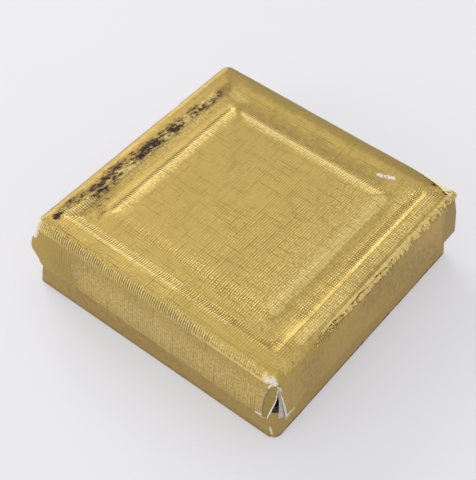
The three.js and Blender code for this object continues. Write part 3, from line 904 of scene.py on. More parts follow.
def top_stroke(x, y, end_x, end_y, radius, strength):
    return (x, y, TOP_Z), (end_x, end_y, TOP_Z), radius, strength


def edge_stroke(side, start, end, degrees, radius, strength):
    return on_edge(side, start, degrees), on_edge(side, end, degrees), radius, strength


LID_WEAR_AND_PAINTED_LIGHT = {
    "soot_and_shadow": [
        top_stroke(-24.6, 20.5, -25.3, 11.5, 2.2, 0.46),
        top_stroke(-25.4, 11.5, -25.1, 7.5, 2.0, 0.44),
        top_stroke(-25.3, 8.0, -25.6, -4.5, 2.6, 0.58),
        top_stroke(-25.3, 2.0, -25.5, -3.5, 1.9, 0.76),
        top_stroke(-25.9, -4.5, -26.2, -9.5, 2.8, 0.47),
        top_stroke(-26.0, -9.5, -25.4, -17.5, 3.2, 0.52),
        top_stroke(-23.8, -16.0, -21.2, -20.8, 2.6, 0.36),
        top_stroke(-26.6, -18.5, -27.0, -25.0, 2.0, 0.44),
        top_stroke(-26.9, -26.3, -26.7, -26.8, 1.3, 1.05),
        edge_stroke("left", 6.0, -27.0, 54, 0.55, 0.52),
        top_stroke(18.7, -21.6, 20.6, -22.6, 0.9, 0.45),
        top_stroke(-17.2, 0.4, -17.2, 0.6, 0.55, 0.75),
        top_stroke(-13.2, 12.9, -13.0, 12.9, 0.5, 0.65),
        # A thin line of painted shadow under the peeled strip along the far edge.
        top_stroke(24.5, 27.95, 27.5, 27.25, 0.30, 0.8),
        top_stroke(27.5, 27.25, 29.0, 26.91, 0.30, 0.9),
    ],
    "bare": [
        ((-29.4, -29.5, 17.8), (-30.1, -30.2, 14.8), 2.2, 0.70),
        ((28.2, -29.6, 17.9), (26.9, -29.9, 17.2), 1.25, 0.68),
        ((28.8, -29.8, 17.4), (28.0, -30.1, 15.9), 1.0, 0.70),
        ((29.95, -29.9, 17.2), (30.5, -29.0, 11.5), 0.42, 0.95),
        ((30.5, -29.0, 11.5), (30.9, -28.2, 7.0), 0.60, 1.0),
        ((27.6, -30.9, 7.0), (26.0, -30.9, LID_RIM_Z), 0.80, 1.0),
        ((30.9, -28.3, 7.0), (30.9, -26.0, LID_RIM_Z), 0.80, 1.0),
        top_stroke(14.6, 23.1, 15.5, 23.4, 1.1, 0.84),
        top_stroke(16.3, 23.7, 17.7, 24.2, 1.0, 0.80),
        ((29.2, 28.8, 17.9), (29.5, 29.4, 16.0), 0.9, 0.65),
        edge_stroke("left", 13.0, 10.5, 50, 0.7, 0.75),
        ((-6.0, -30.9, LID_RIM_Z), (22.0, -30.9, LID_RIM_Z), 0.22, 0.55),
    ],
    # Olive grime, and painted shade along the left edge and in the hollow's front corner.
    "grime_and_shade": [
        top_stroke(-24.0, 22.0, 15.0, 22.0, 3.6, 0.55),
        top_stroke(-30.0, 28.0, 24.0, 28.4, 3.2, 1.05),
        # These two strokes, and the one at the far end of the right wall, darken the right wall.
        ((29.6, -20.0, 16.0), (30.6, -20.0, 8.0), 7.0, 0.42),
        ((29.6, 0.0, 16.0), (30.6, 20.0, 8.0), 9.0, 0.50),
        top_stroke(-27.0, 27.0, -24.5, 26.0, 2.6, 0.70),
        top_stroke(-28.6, 8.0, -28.3, 27.5, 1.7, 0.70),
        # Painted shade, dimming the highlight in the hollow's front corner.
        top_stroke(23.8, -23.2, 24.4, -15.0, 1.3, 0.42),
        top_stroke(-28.7, -19.0, -28.4, -27.5, 1.8, 0.90),
        ((30.5, 28.0, 15.0), (30.8, 28.0, 8.0), 6.0, 1.0),
        # Painted shade along the left edge, where it turns away from the lamp.
        edge_stroke("left", 28.0, -28.0, 44, 1.9, 1.25),
    ],
    "smooth": [
        ((-29.0, -30.6, 14.0), (-29.0, -30.9, 7.0), 6.5, 1.0),
        ((-30.5, -29.0, 14.0), (-30.8, -29.0, 7.0), 6.5, 1.0),
        top_stroke(-28.0, 29.0, 28.0, 29.0, 4.0, 0.75),
        top_stroke(14.0, -27.5, 27.5, -27.0, 4.2, 0.62),
        top_stroke(27.5, -27.0, 28.0, -16.0, 3.6, 0.50),
        top_stroke(18.0, -25.0, 25.0, -19.0, 4.0, 0.68),
        top_stroke(-28.0, 24.0, -25.5, -13.0, 3.2, 0.55),
        ((30.4, -22.0, 11.0), (30.4, 30.0, 11.0), 8.0, 0.60),
    ],
    "crisp": [
        edge_stroke("near", -29.0, 13.0, 62, 1.9, 1.0),
        edge_stroke("near", 13.0, 25.0, 62, 1.6, 0.6),
        ((-28.0, -30.5, 11.0), (27.0, -30.5, 11.0), 7.0, 0.45),
        edge_stroke("right", -17.0, 28.0, 45, 1.5, 0.9),
        top_stroke(-26.0, -24.5, 23.0, -24.5, 1.6, 1.0),
        top_stroke(23.7, -23.0, 23.7, 0.0, 1.5, 0.50),
        top_stroke(23.7, 0.0, 23.7, 24.0, 1.5, 0.75),
        top_stroke(-17.0, 19.8, 18.0, 19.8, 1.2, 1.0),
        top_stroke(-19.9, -18.0, -19.9, 18.0, 1.2, 0.9),
        top_stroke(-24.6, -25.0, -24.6, -13.0, 1.6, 0.8),
        top_stroke(26.9, -24.0, 26.9, 26.0, 1.7, 0.5),
        top_stroke(19.4, -18.0, 19.4, 18.0, 1.0, 0.4),
        top_stroke(-18.0, -19.4, 18.0, -19.4, 1.0, 0.4),
    ],
    # Painted shade: the right wall browner and darker.
    "painted_shade_brown": [
        ((34.0, -21.0, 10.0), (34.0, 30.0, 10.0), 13.0, 0.60),
    ],
    # Painted shade: the left of the panel and the left corner are darkened.
    "painted_shade": [
        top_stroke(-21.0, -15.0, -21.0, 17.0, 22.0, 1.0),
        ((-29.0, -29.0, 15.0), (-29.0, -29.0, 9.0), 20.0, 1.0),
    ],
    # Rubbed gilding together with painted highlights on the hollow's edges and slopes, the near edge and the
    # right edge.
    "rub_and_highlight": [
        top_stroke(-26.0, -24.6, 2.0, -24.6, 1.7, 0.92),
        top_stroke(2.0, -24.6, 14.0, -24.6, 1.5, 0.60),
        top_stroke(24.9, -1.0, 24.9, 24.5, 0.75, 0.46),
        top_stroke(21.5, 18.0, 22.5, 23.0, 2.6, 0.42),
        # Painted light over the right half of the panel.
        top_stroke(18.0, -17.0, 18.0, 18.0, 13.0, 0.24),
        top_stroke(22.2, -18.0, 22.2, 18.0, 2.4, 0.22),
        # Painted light on slopes of the hollow that face away from the lamp.
        top_stroke(-23.2, -12.0, -23.2, 21.0, 1.6, 0.36),
        top_stroke(-22.5, 22.5, -20.0, 22.8, 2.4, 0.42),
        top_stroke(26.9, -20.0, 26.9, 24.0, 2.0, 0.54),
        top_stroke(-24.9, -25.0, -24.9, 20.0, 1.3, 0.90),
        top_stroke(-19.45, -18.5, -19.45, 19.0, 0.95, 0.66),
        top_stroke(-17.0, 19.5, 18.0, 19.5, 1.1, 0.92),
        edge_stroke("right", -15.0, 28.0, 40, 1.2, 0.75),
        edge_stroke("right", -27.0, -11.0, 26, 1.7, 0.36),
        top_stroke(19.3, -18.0, 19.3, 18.0, 1.8, 0.74),
        top_stroke(-18.0, -19.3, 18.0, -19.3, 1.2, 0.18),
        edge_stroke("near", -29.0, 12.0, 62, 2.0, 0.68),
        edge_stroke("near", 12.0, 26.0, 62, 1.6, 0.45),
        (on_edge("near", 10.0, 84), on_edge("near", 27.0, 88), 0.45, 0.85),
        # Painted light on the near wall.
        ((-16.0, -30.4, 11.0), (27.0, -30.4, 11.0), 6.5, 0.40),
    ],
}


def make_lid_wrap():
    points, faces, corners = folded_sheet(LID_ROWS, LID_COLUMNS)
    points = shape_lid(points, faces)
    piece = mesh_piece("gilt_lid_wrap", points, faces, [LID_GILT, TORN_PAPER])
    set_unrolled(piece.data, corners)
    paint(piece.data, points, LID_WEAR_AND_PAINTED_LIGHT, {"smooth": 0.08})
    weld(piece.data)
    give_thickness(piece, PAPER)
    hand_over(piece, "lid", "gilt_paper", "lid_wrap")


make_lid_wrap()

# %% [markdown]
# ## The strip under the split
# Before the wrap went on, a strip of the same gilt paper was pasted round each corner to hold the card's
# walls together. In the split its torn end shows: an arched flap with a white, rolled edge.

# %% The front corner strip
STRIP_LEG = 9.0
STRIP_INSET = 0.17
STRIP_PAPER = 0.07
STRIP_LOW_Z, STRIP_TOP_Z = LID_RIM_Z + 0.3, 16.75
STRIP_SPLIT_Z, STRIP_ARCH = 16.2, 1.2
STRIP_TEAR_TOP_Z, STRIP_TEAR_SLOPE = 17.4, 0.3
STRIP_LEFT_TOP, STRIP_LEFT_MORE = 0.45, 2.05
STRIP_FLAP_TOP_Z, STRIP_FLAP_HEIGHT, STRIP_FLAP_BOW = 14.6, 8.1, 1.15
STRIP_EDGE_ROLL = 0.10
STRIP_SCUFF = ((28.6, -30.1, 16.3), (29.3, -29.9, 16.3), 0.4, 0.9)


def strip_split(z):
    if z > STRIP_SPLIT_Z:
        return 0.0, 0.0
    ragged = 0.07 * noise.noise(Vector((3.3, z * 2.9, 1.0)))
    right = max(STRIP_TEAR_SLOPE * (STRIP_TEAR_TOP_Z - z), 0.2)
    flap = np.clip((STRIP_FLAP_TOP_Z - z) / STRIP_FLAP_HEIGHT, 0, 1) ** STRIP_FLAP_BOW
    left = STRIP_LEFT_TOP + STRIP_LEFT_MORE * flap + ragged
    arch = math.sqrt(min((STRIP_SPLIT_Z - z) / STRIP_ARCH, 1.0))
    return corner_arc(right, z) * arch, corner_arc(left, z) * arch


def make_front_strip():
    rows = []
    for z in np.linspace(STRIP_TOP_Z, STRIP_LOW_Z, 40):
        rows.append({
            "half": lid_half(z) - STRIP_INSET,
            "z": z,
            "radii": lid_radii(z, STRIP_INSET),
            "split": strip_split(z),
        })
    with_runs(rows)
    count = 26
    shares = np.linspace(0, 1, count) ** 1.3
    points, faces, corners = [], [], []
    for row in rows:
        total = run_lengths(row["half"], row["radii"]).sum()
        right, left = row["split"]
        ahead = right + (STRIP_LEG - right) * shares
        behind = total - left - (STRIP_LEG - left) * shares[::-1]
        travel = np.concatenate([ahead, behind])
        flat = walk_square(row["half"], row["radii"], travel)
        edge = np.concatenate([ahead - right, (total - left) - behind])
        roll = STRIP_EDGE_ROLL * smooth_fall(edge, 0.7) * (min(right, left) > SMALLEST)
        flat *= 1 + (roll / row["half"])[:, None]
        points.append(np.column_stack([flat, np.full(2 * count, row["z"])]))
        row["travel"] = np.concatenate([ahead, behind - total])
        row["torn"] = (*walk_square(row["half"], row["radii"], np.array([total - left]))[0], row["z"])
    for i in range(len(rows) - 1):
        for j in [*range(count - 1), *range(count, 2 * count - 1)]:
            square = [(i, j), (i + 1, j), (i + 1, j + 1), (i, j + 1)]
            faces.append([a * 2 * count + b for a, b in square])
            corners += [(rows[a]["travel"][b], rows[a]["z"]) for a, b in square]
    points = np.concatenate(points)
    piece = mesh_piece("torn_corner_strip", points, faces, [LID_GILT, TORN_PAPER])
    set_unrolled(piece.data, corners)
    torn = [(rows[i]["torn"], rows[i + 3]["torn"], 0.30, 0.95) for i in range(2, len(rows) - 3, 3)]
    paint(piece.data, points, {"bare": [*torn, STRIP_SCUFF]}, {"grime_and_shade": 0.80, "smooth": 0.3})
    weld(piece.data)
    give_thickness(piece, STRIP_PAPER)
    hand_over(piece, "lid", "gilt_paper", "lid_corner_stay_front")


make_front_strip()

# %% [markdown]
# ## The board's torn end
# Right of the dark gap the card's own torn end shows as a furry band between it and the wrap's edge, painted
# much paler than the card as painted light on it.

# %% A ragged band of card
BOARD_OUT, BOARD_IN = 0.16, 0.87
BOARD_END_Z = (7.0, 9.3, 11.7, 14.0, 16.5, 17.0)
BOARD_END_BACK = (1.55, 1.50, 1.30, 0.85, 0.42, 0.35)


def make_board_end():
    heights = np.linspace(17.0, LID_RIM_Z + 0.15, 64)
    count = 7
    points = []
    for z in heights:
        half = lid_half(z)
        outer = right_tear_back(z) + 0.55
        inner = float(np.interp(z, BOARD_END_Z, BOARD_END_BACK))
        for share in np.linspace(0, 1, count):
            rag = 0.07 * noise.noise(Vector((share * 1.5, z * 2.4, 5.0)))
            inset = BOARD_OUT + (BOARD_IN - BOARD_OUT) * share ** 1.3
            points.append((half - inset + rag, -half + outer + (inner - outer) * share + rag, z))
    faces = grid_faces(len(heights), count, flipped=True)
    piece = mesh_piece("torn_board_end", points, faces, [TORN_BOARD_PAINTED_PALE, TORN_BOARD_PAINTED_PALE])
    give_thickness(piece, 0.10)
    hand_over(piece, "lid", "greyboard")


make_board_end()

# %% [markdown]
# ## Paper that has lifted
# Along the top of the right wall the pressed paper has cracked and stands off as a lip. A dark crack runs
# along its front half, painted on as a line of shade, dark gaps of painted shade lie along its far half, its
# far end is torn and lumpy, and every thread makes a small ridge. Rubbed gold and painted highlight brighten
# the lip.
# Along the far edge a pale line has peeled up, which grows into a sliver at the right corner.

# %% The lip and the sliver
LIP_FROM, LIP_TO, LIP_STEPS = -16.0, 29.0, 460
LIP_START = 20
LIP_SECTION = ((0, 0.2, 0.5, 0.8, 1), (-0.03, 0.35, 0.9, 1.0, 0.75))
LIP_CREST, LIP_THREAD, LIP_TORN = 0.10, 0.13, 0.30
LIP_TORN_FROM = 13.0
SLIVER_X = (9.0, 16.0, 20.1, 22.8, 25.2, 27.5, 29.3)
SLIVER_INNER = (51, 43, 34, 19, 10, -6, -18)
SLIVER_OUTER = (53, 58, 60, 60, 64, 72, 80)


LIP_GAPS = (13.0, 16.8, 19.7, 22.6, 25.4)
CRACK_FROM, CRACK_TO, CRACK_STEP = -16.0, 7.0, 0.7


def crack_turn(y):
    """Where the crack along the lip lies, as an angle round the edge from the top."""
    return 40 + 9 * noise.noise(Vector((y * 0.35, 5.0, 1.0))) + 5 * noise.noise(Vector((y * 1.9, 1.0, 4.0)))


crack = [on_edge("right", y, crack_turn(y), 0.12) for y in np.arange(CRACK_FROM, CRACK_TO, CRACK_STEP)]
LIP_WEAR_AND_PAINTED_LIGHT = {
    # The crack is painted in as a dark line of shade.
    "soot_and_shadow": [(start, end, 0.30, 0.46) for start, end in zip(crack, crack[1:])],
    # Dark gaps of painted shade.
    "grime_and_shade": [(on_edge("right", y - 0.5, 58), on_edge("right", y + 0.5, 36), 0.6, 0.9) for y in LIP_GAPS],
    # Rubbed gold together with painted highlight along the lip.
    "rub_and_highlight": [edge_stroke("right", LIP_FROM, LIP_TO, 40, 1.5, 0.95)],
    "bare": [(on_edge("right", 27.5, 30), on_edge("right", 29.0, 60), 0.7, 0.5)],
}


def make_lip():
    count = 11
    points, flat = [], []
    for y in np.linspace(LIP_FROM, LIP_TO, LIP_STEPS):
        fade = np.clip((y - LIP_FROM) / 8, 0.1, 1.0)
        slow = noise.noise(Vector((y * 0.4, 2.0, 0)))
        thread = noise.noise(Vector((math.floor(y / WEAVE_PITCH) * 1.37, 7.0, 0)))
        torn = np.clip((y - LIP_TORN_FROM) / 3, 0, 1)
        lump = noise.noise(Vector((y * 1.3, 4.0, 2.0)))
        ridge = abs(math.sin(math.pi * y / WEAVE_PITCH)) ** 0.7 * (0.7 + 0.6 * thread)
        crest = (LIP_CREST + LIP_THREAD * ridge + LIP_TORN * torn * max(lump, -0.2)) * fade
        low = 40 + (20 + 14 * slow + 18 * thread + 16 * torn * lump) * fade
        for share in np.linspace(0, 1, count):
            degrees = LIP_START + share * (low - LIP_START)
            proud = 0.015 + crest * float(np.interp(share, *LIP_SECTION))
            points.append(on_edge("right", y, degrees, proud))
            flat.append((LID_SHOULDER_HALF - LID_EDGE_R + LID_EDGE_R * math.radians(degrees), y))
    faces = grid_faces(LIP_STEPS, count)
    piece = mesh_piece("frayed_lip", points, faces, [LID_GILT, TORN_PAPER])
    points = np.array(points)
    set_unrolled(piece.data, [flat[k] for face in faces for k in face])
    if outwards_of(points, faces)[:, 0].mean() < 0:
        piece.data.flip_normals()
    # The whole lip takes rubbed gold and painted highlight.
    paint(piece.data, points, LIP_WEAR_AND_PAINTED_LIGHT, {"crisp": 0.25, "rub_and_highlight": 0.62})
    give_thickness(piece, 0.05, 0)
    hand_over(piece, "lid", "gilt_paper")


make_lip()


def round_off(place, lift):
    """Pulls a place beyond the lid's rounded right corner back on to it."""
    reach = max(place[1] - (LID_SHOULDER_HALF - LID_EDGE_R), 0.0)
    half = LID_SHOULDER_HALF - LID_EDGE_R + reach
    radius = max(PLAIN_CORNER[-1][1] - LID_EDGE_R + reach, 0.3)
    centre = half - radius
    away = place[:2] - centre
    length = np.linalg.norm(away)
    if away.min() > 0 and length > radius:
        place[:2] = centre + away / length * (radius + lift / 2)
    return place


def make_sliver():
    steps, count = 200, 11
    points = []
    for x in np.linspace(SLIVER_X[0], SLIVER_X[-1], steps):
        grown = (x - SLIVER_X[0]) / (SLIVER_X[-1] - SLIVER_X[0])
        rag = 6 * noise.noise(Vector((x * 1.3, 3.0, 0))) * min(grown * 4, 1)
        inner = np.interp(x, SLIVER_X, SLIVER_INNER) + rag
        outer = np.interp(x, SLIVER_X, SLIVER_OUTER) + rag / 2
        for share in np.linspace(0, 1, count):
            lift = 0.02 + 0.18 * grown * (1 - share) ** 2
            place = np.array(on_edge("far", x, inner + share * (outer - inner), lift))
            points.append(round_off(place, lift))
    faces = grid_faces(steps, count)
    points = np.array(points)
    if outwards_of(points, faces)[:, 2].mean() < 0:
        faces = [face[::-1] for face in faces]
    piece = mesh_piece("peeled_sliver", points, faces, [PEELED_PAPER, PEELED_PAPER])
    give_thickness(piece, 0.06, 0)
    hand_over(piece, "lid", "gilt_paper")


make_sliver()

# %% [markdown]
# ## Frayed fibres
# Torn paper ends in fibres, and the cracked lip in broken threads. Geometry Nodes sets thin cones along a
# path: each leans as the path says, with its own random turn and length from a fixed seed.

# %% Fibres along a path


def make_fibre_tree():
    tree = bpy.data.node_groups.new("Frayed fibres", "GeometryNodeTree")
    sockets = [("Geometry", "NodeSocketGeometry"), ("Count", "NodeSocketInt"), ("Length", "NodeSocketFloat"),
               ("Thickness", "NodeSocketFloat"), ("Spread", "NodeSocketFloat"), ("Seed", "NodeSocketInt"),
               ("Material", "NodeSocketMaterial")]
    for label, kind in sockets:
        tree.interface.new_socket(label, in_out="INPUT", socket_type=kind)
    tree.interface.new_socket("Geometry", in_out="OUTPUT", socket_type="NodeSocketGeometry")
    given = tree.nodes.new("NodeGroupInput").outputs
    result = tree.nodes.new("NodeGroupOutput")
    curve = add_node(tree, "GeometryNodeMeshToCurve", Mesh=given["Geometry"])
    spaced = add_node(tree, "GeometryNodeResampleCurve", Curve=curve.outputs[0], Count=given["Count"])
    cone = add_node(tree, "GeometryNodeMeshCone", Vertices=3, Radius_Top=0.0)
    put(tree, cone.inputs["Radius Bottom"], given["Thickness"])
    put(tree, cone.inputs["Depth"], given["Length"])
    lean = add_node(tree, "GeometryNodeInputNamedAttribute", {"data_type": "FLOAT_VECTOR"}, Name="lean")
    any_way = tree.nodes.new("FunctionNodeRandomValue")
    any_way.data_type = "FLOAT_VECTOR"
    any_way.inputs[0].default_value = (-1, -1, -1)
    any_way.inputs[1].default_value = (1, 1, 1)
    put(tree, any_way.inputs["Seed"], given["Seed"])
    any_size = tree.nodes.new("FunctionNodeRandomValue")
    any_size.inputs[2].default_value = 0.25
    any_size.inputs[3].default_value = 1.0
    put(tree, any_size.inputs["Seed"], given["Seed"])
    spread = add_node(tree, "ShaderNodeVectorMath", {"operation": "SCALE"}, Vector=any_way.outputs[0],
                      Scale=given["Spread"])
    heading = add_node(tree, "ShaderNodeVectorMath", {"operation": "ADD"})
    put(tree, heading.inputs[0], lean.outputs[0])
    put(tree, heading.inputs[1], spread.outputs[0])
    turn = add_node(tree, "FunctionNodeAlignRotationToVector", {"axis": "Z"}, Vector=heading.outputs[0])
    placed = add_node(tree, "GeometryNodeInstanceOnPoints", Points=spaced.outputs[0],
                      Instance=cone.outputs["Mesh"], Rotation=turn.outputs[0], Scale=any_size.outputs[1])
    real = add_node(tree, "GeometryNodeRealizeInstances", Geometry=placed.outputs[0])
    painted = add_node(tree, "GeometryNodeSetMaterial", Geometry=real.outputs[0], Material=given["Material"])
    put(tree, result.inputs[0], painted.outputs[0])
    return tree


FIBRE_TREE = make_fibre_tree()


def thread_gold():
    material, tree, surface = new_material("gilt thread")
    streak = speckle(tree, place_in_mm(tree), 3.0, 2.0)
    # The threads take the bright rubbed gold that also serves as painted highlight.
    tint = blend_colours(tree, soft_step(tree, streak, 0.47, 0.60), RUBBED_AND_HIGHLIGHT, OLIVE)
    put(tree, surface.inputs["Base Color"], tint)
    put(tree, surface.inputs["Roughness"], sums(tree, "MULTIPLY_ADD", streak, 0.3, 0.3))
    surface.inputs["Metallic"].default_value = 0.7
    return material


def fibres(name, path, lean, count, length, thickness, spread, seed, material):
    edges = [(i, i + 1) for i in range(len(path) - 1)]
    mesh = bpy.data.meshes.new(name)
    mesh.from_pydata([tuple(np.array(p) * MM) for p in path], edges, [])
    leans = mesh.attributes.new("lean", "FLOAT_VECTOR", "POINT")
    leans.data.foreach_set("vector", np.tile(lean, len(path)).astype(np.float32))
    piece = bpy.data.objects.new(name, mesh)
    scene.collection.objects.link(piece)
    growth = piece.modifiers.new("fibres", "NODES")
    growth.node_group = FIBRE_TREE
    values = {"Count": count, "Length": length * MM, "Thickness": thickness * MM, "Spread": spread,
              "Seed": seed, "Material": material}
    for item in FIBRE_TREE.interface.items_tree:
        if item.in_out == "INPUT" and item.name in values:
            growth[item.identifier] = values[item.name]
    settle(piece, 60)
    hand_over(piece, "lid", "gilt_paper")


THREAD = thread_gold()
CHIP_COUNT = 1000
PROUD = 0.02
scatter = np.random.default_rng(7).uniform(34, 60, CHIP_COUNT)
chip_places = LIP_TO - (LIP_TO + 20.0) * np.linspace(0, 1, CHIP_COUNT) ** 1.7
edge_path = [on_edge("right", y, degrees, 0.12) for y, degrees in zip(chip_places, scatter)]
right_tear = [(lid_half(z) + PROUD, -lid_half(z) + max(right_tear_back(z), 0.2), z)
              for z in np.linspace(SPLIT_TOP_Z, LID_RIM_Z, 60)]
left_tear = [(lid_half(z) - left_tear_back(z), -lid_half(z) - PROUD, z)
             for z in np.linspace(17.6, LID_RIM_Z, 40)]
rim_left = [(x, -LID_RIM_HALF - PROUD, LID_RIM_Z + 0.05) for x in np.linspace(25.8, 27.6, 12)]
rim_right = [(LID_RIM_HALF + PROUD, y, LID_RIM_Z + 0.05) for y in np.linspace(-28.6, -25.9, 12)]
crown = [(28.9 - 1.7 * t, -29.6 - 0.3 * t, 18.3 - 0.6 * t) for t in np.linspace(0, 1, 10)]

# Each row: name, path, lean, count, length, thickness, spread, seed and finish.
FRAYED = (
    ("edge_threads", edge_path, (0.5, 0.0, 0.5), CHIP_COUNT, 0.50, 0.095, 1.2, 3, THREAD),
    ("tear_fibres_right", right_tear, (0.3, -0.8, 0.1), 130, 0.34, 0.022, 0.7, 5, TORN_PAPER),
    ("tear_fibres_left", left_tear, (0.7, -0.3, 0.1), 46, 0.26, 0.020, 0.7, 7, TORN_PAPER),
    ("rim_fibres_left", rim_left, (0.2, -0.5, 0.1), 46, 0.45, 0.045, 0.8, 9, TORN_PAPER),
    ("rim_fibres_right", rim_right, (0.5, -0.2, 0.1), 50, 0.45, 0.045, 0.8, 11, TORN_PAPER),
    ("corner_fibres", crown, (0.1, -0.3, 0.4), 60, 0.36, 0.024, 0.9, 13, TORN_PAPER),
)
for row in FRAYED:
    fibres(*row)

# %% [markdown]
# ## The base's wrap
# The base's paper starts under the bottom, goes round a small rounded edge, up a wall that leans in and over
# the rim to the inside. It is smoother and browner than the lid. On the two walls in view its foot stands
# off the card a little, and the left corner swells by a hair. Its own front corner has opened behind the
# lid's split, which is the dark triangle in the photograph.

# %% Sizes and sheet of the base
base_low, base_high = (Vector(v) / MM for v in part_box("base_wrap"))
BASE_FOOT_Z, BASE_TOP_Z = base_low.z, base_high.z
BASE_FOOT_HALF = base_high.x
BASE_LEAN = 0.90
BASE_CORNER_R, BASE_LEFT_R, BASE_LEFT_LOW_R = 1.8, 1.8, 1.1
BASE_LEFT_FROM_Z, BASE_LEFT_TO_Z = 5.0, 6.6
BASE_BULGE_Z, BASE_BULGE_HEIGHT, BASE_BULGE_OUT, BASE_BULGE_REACH = 4.0, 2.1, 0.10, 5.0
BASE_EDGE_R, BASE_RIM_R = 0.5, 0.4
BASE_UNDER_HALF, BASE_UNDER_R = 22.0, 0.7
BASE_TURN_IN = 6.0
BASE_SPLIT_Z = 7.3
BASE_SPLIT_FOOT, BASE_SPLIT_TOP, BASE_SPLIT_LESS = 1.06, 1.62, 0.25
FLARE_TOP_Z = 7.0
FLARE_RIGHT, FLARE_NEAR = 0.5, (0.72, 0.42)


def base_half(z):
    return BASE_FOOT_HALF - BASE_LEAN * (z - BASE_EDGE_R) / (BASE_TOP_Z - BASE_EDGE_R)


def base_radii(z, inset=0.0):
    under_lid = np.clip((z - BASE_LEFT_FROM_Z) / (BASE_LEFT_TO_Z - BASE_LEFT_FROM_Z), 0, 1)
    left = BASE_LEFT_LOW_R + under_lid * (BASE_LEFT_R - BASE_LEFT_LOW_R)
    return tuple(max(r - inset, 0.35) for r in (BASE_CORNER_R, BASE_CORNER_R, BASE_CORNER_R, left))


def base_split(z):
    if z < BASE_SPLIT_Z:
        return 0.0, 0.0
    ragged = 0.06 * noise.noise(Vector((z * 2.2, 1.7, 0)))
    rise = (z - BASE_SPLIT_Z) / (BASE_TOP_Z - BASE_SPLIT_Z)
    wide = BASE_SPLIT_FOOT + (BASE_SPLIT_TOP - BASE_SPLIT_FOOT) * rise
    wide -= BASE_SPLIT_LESS
    return wide + ragged, wide - ragged


def base_rows():
    rows = []

    def row(half, z, radii):
        rows.append({"half": half, "z": z, "radii": radii, "split": base_split(z)})

    side = base_half(BASE_EDGE_R)
    for half in np.linspace(BASE_UNDER_HALF, side - BASE_EDGE_R, 7)[:-1]:
        row(half, BASE_FOOT_Z, (BASE_UNDER_R,) * 4)
    for turn in np.linspace(0, math.pi / 2, 7):
        reach = BASE_EDGE_R * (1 - math.sin(turn))
        row(side - reach, BASE_FOOT_Z + BASE_EDGE_R * (1 - math.cos(turn)), base_radii(BASE_FOOT_Z, reach))
    below = np.linspace(0.95, BASE_SPLIT_Z - 0.02, 22)
    above = np.linspace(BASE_SPLIT_Z, BASE_TOP_Z - BASE_RIM_R, 20)
    for z in (*below, *above):
        row(base_half(z), z, base_radii(z))
    for turn in np.linspace(0, math.pi / 2, 5)[1:]:
        inset = BASE_RIM_R * (1 - math.cos(turn))
        z = BASE_TOP_Z - BASE_RIM_R * (1 - math.sin(turn))
        row(base_half(BASE_TOP_Z) - inset, z, base_radii(BASE_TOP_Z, inset))
    row(base_half(BASE_TOP_Z) - TURN_IN_INSET + FOLD_R, BASE_TOP_Z, base_radii(BASE_TOP_Z, TURN_IN_INSET))
    for z in np.linspace(BASE_TOP_Z - FOLD_R, BASE_TOP_Z - BASE_TURN_IN, 8):
        row(base_half(z) - TURN_IN_INSET, z, base_radii(z, TURN_IN_INSET))
    return with_runs(rows)


BASE_WEAR_AND_PAINTED_SHADE = {
    "bare": [
        ((28.7, -29.85, 3.2), (29.3, -30.0, 1.4), 0.40, 0.66),
        ((29.6, -29.8, 0.6), (28.4, -30.0, 0.5), 0.50, 0.55),
        ((-29.0, -29.0, 17.6), (29.0, -29.0, 17.8), 0.5, 0.42),
    ],
    "grime_and_shade": [
        # These two strokes are a dark line of painted shadow along the foot, where the box meets the floor.
        ((-30.0, -30.6, 0.6), (30.0, -30.4, 0.6), 1.5, 0.66),
        ((30.5, -30.0, 0.6), (30.5, 30.0, 0.6), 1.5, 0.66),
        ((-30.0, -30.4, 3.4), (6.0, -30.2, 3.4), 3.2, 0.40),
        ((-29.6, -29.6, 2.3), (-24.6, -29.8, 1.0), 0.55, 0.95),
        ((30.0, 24.0, 4.0), (30.0, 30.0, 3.0), 3.0, 0.55),
    ],
    # Painted shade: the right wall browner and darker.
    "painted_shade_brown": [
        ((34.0, -21.0, 5.0), (34.0, 30.0, 5.0), 13.0, 0.60),
    ],
    "soot_and_shadow": [
        ((-29.2, -29.5, 2.5), (-26.6, -29.7, 1.4), 0.32, 0.55),
        # A dark line of painted shadow along the right foot.
        ((30.5, -28.0, 0.4), (30.5, 29.0, 0.4), 1.0, 0.60),
    ],
}


def make_base_wrap():
    rows = base_rows()
    columns = round_columns((74, 54, 54, 74), 1.3)
    points, faces, corners = folded_sheet(rows, columns, outward=False)
    out = outwards_of(points, faces)
    points += out * (0.04 * ripple(points, 0.2, 6) * (points[:, 2] > BASE_EDGE_R))[:, None]
    corner = np.hypot(points[:, 0] + BASE_FOOT_HALF, points[:, 1] + BASE_FOOT_HALF)
    low = np.clip((FLARE_TOP_Z - points[:, 2]) / (FLARE_TOP_Z - BASE_EDGE_R), 0, 1)
    shares = points[:, :2] / BASE_FOOT_HALF
    near = np.interp(shares[:, 0], (-1, 1), FLARE_NEAR)
    points[:, 1] -= near * low * np.clip(-shares[:, 1], 0, 1) ** 6
    points[:, 0] += FLARE_RIGHT * low * np.clip(shares[:, 0], 0, 1) ** 6
    rise = np.exp(-((points[:, 2] - BASE_BULGE_Z) / BASE_BULGE_HEIGHT) ** 4)
    points[:, :2] -= (BASE_BULGE_OUT * smooth_fall(corner, BASE_BULGE_REACH) * rise)[:, None] / math.sqrt(2)
    piece = mesh_piece("gilt_base_wrap", points, faces, [BASE_GILT, TORN_PAPER])
    set_unrolled(piece.data, corners)
    paint(piece.data, points, BASE_WEAR_AND_PAINTED_SHADE, {"smooth": 0.55, "grime_and_shade": 0.12})
    weld(piece.data)
    give_thickness(piece, PAPER)
    hand_over(piece, "base", "gilt_paper", "base_wrap")


make_base_wrap()

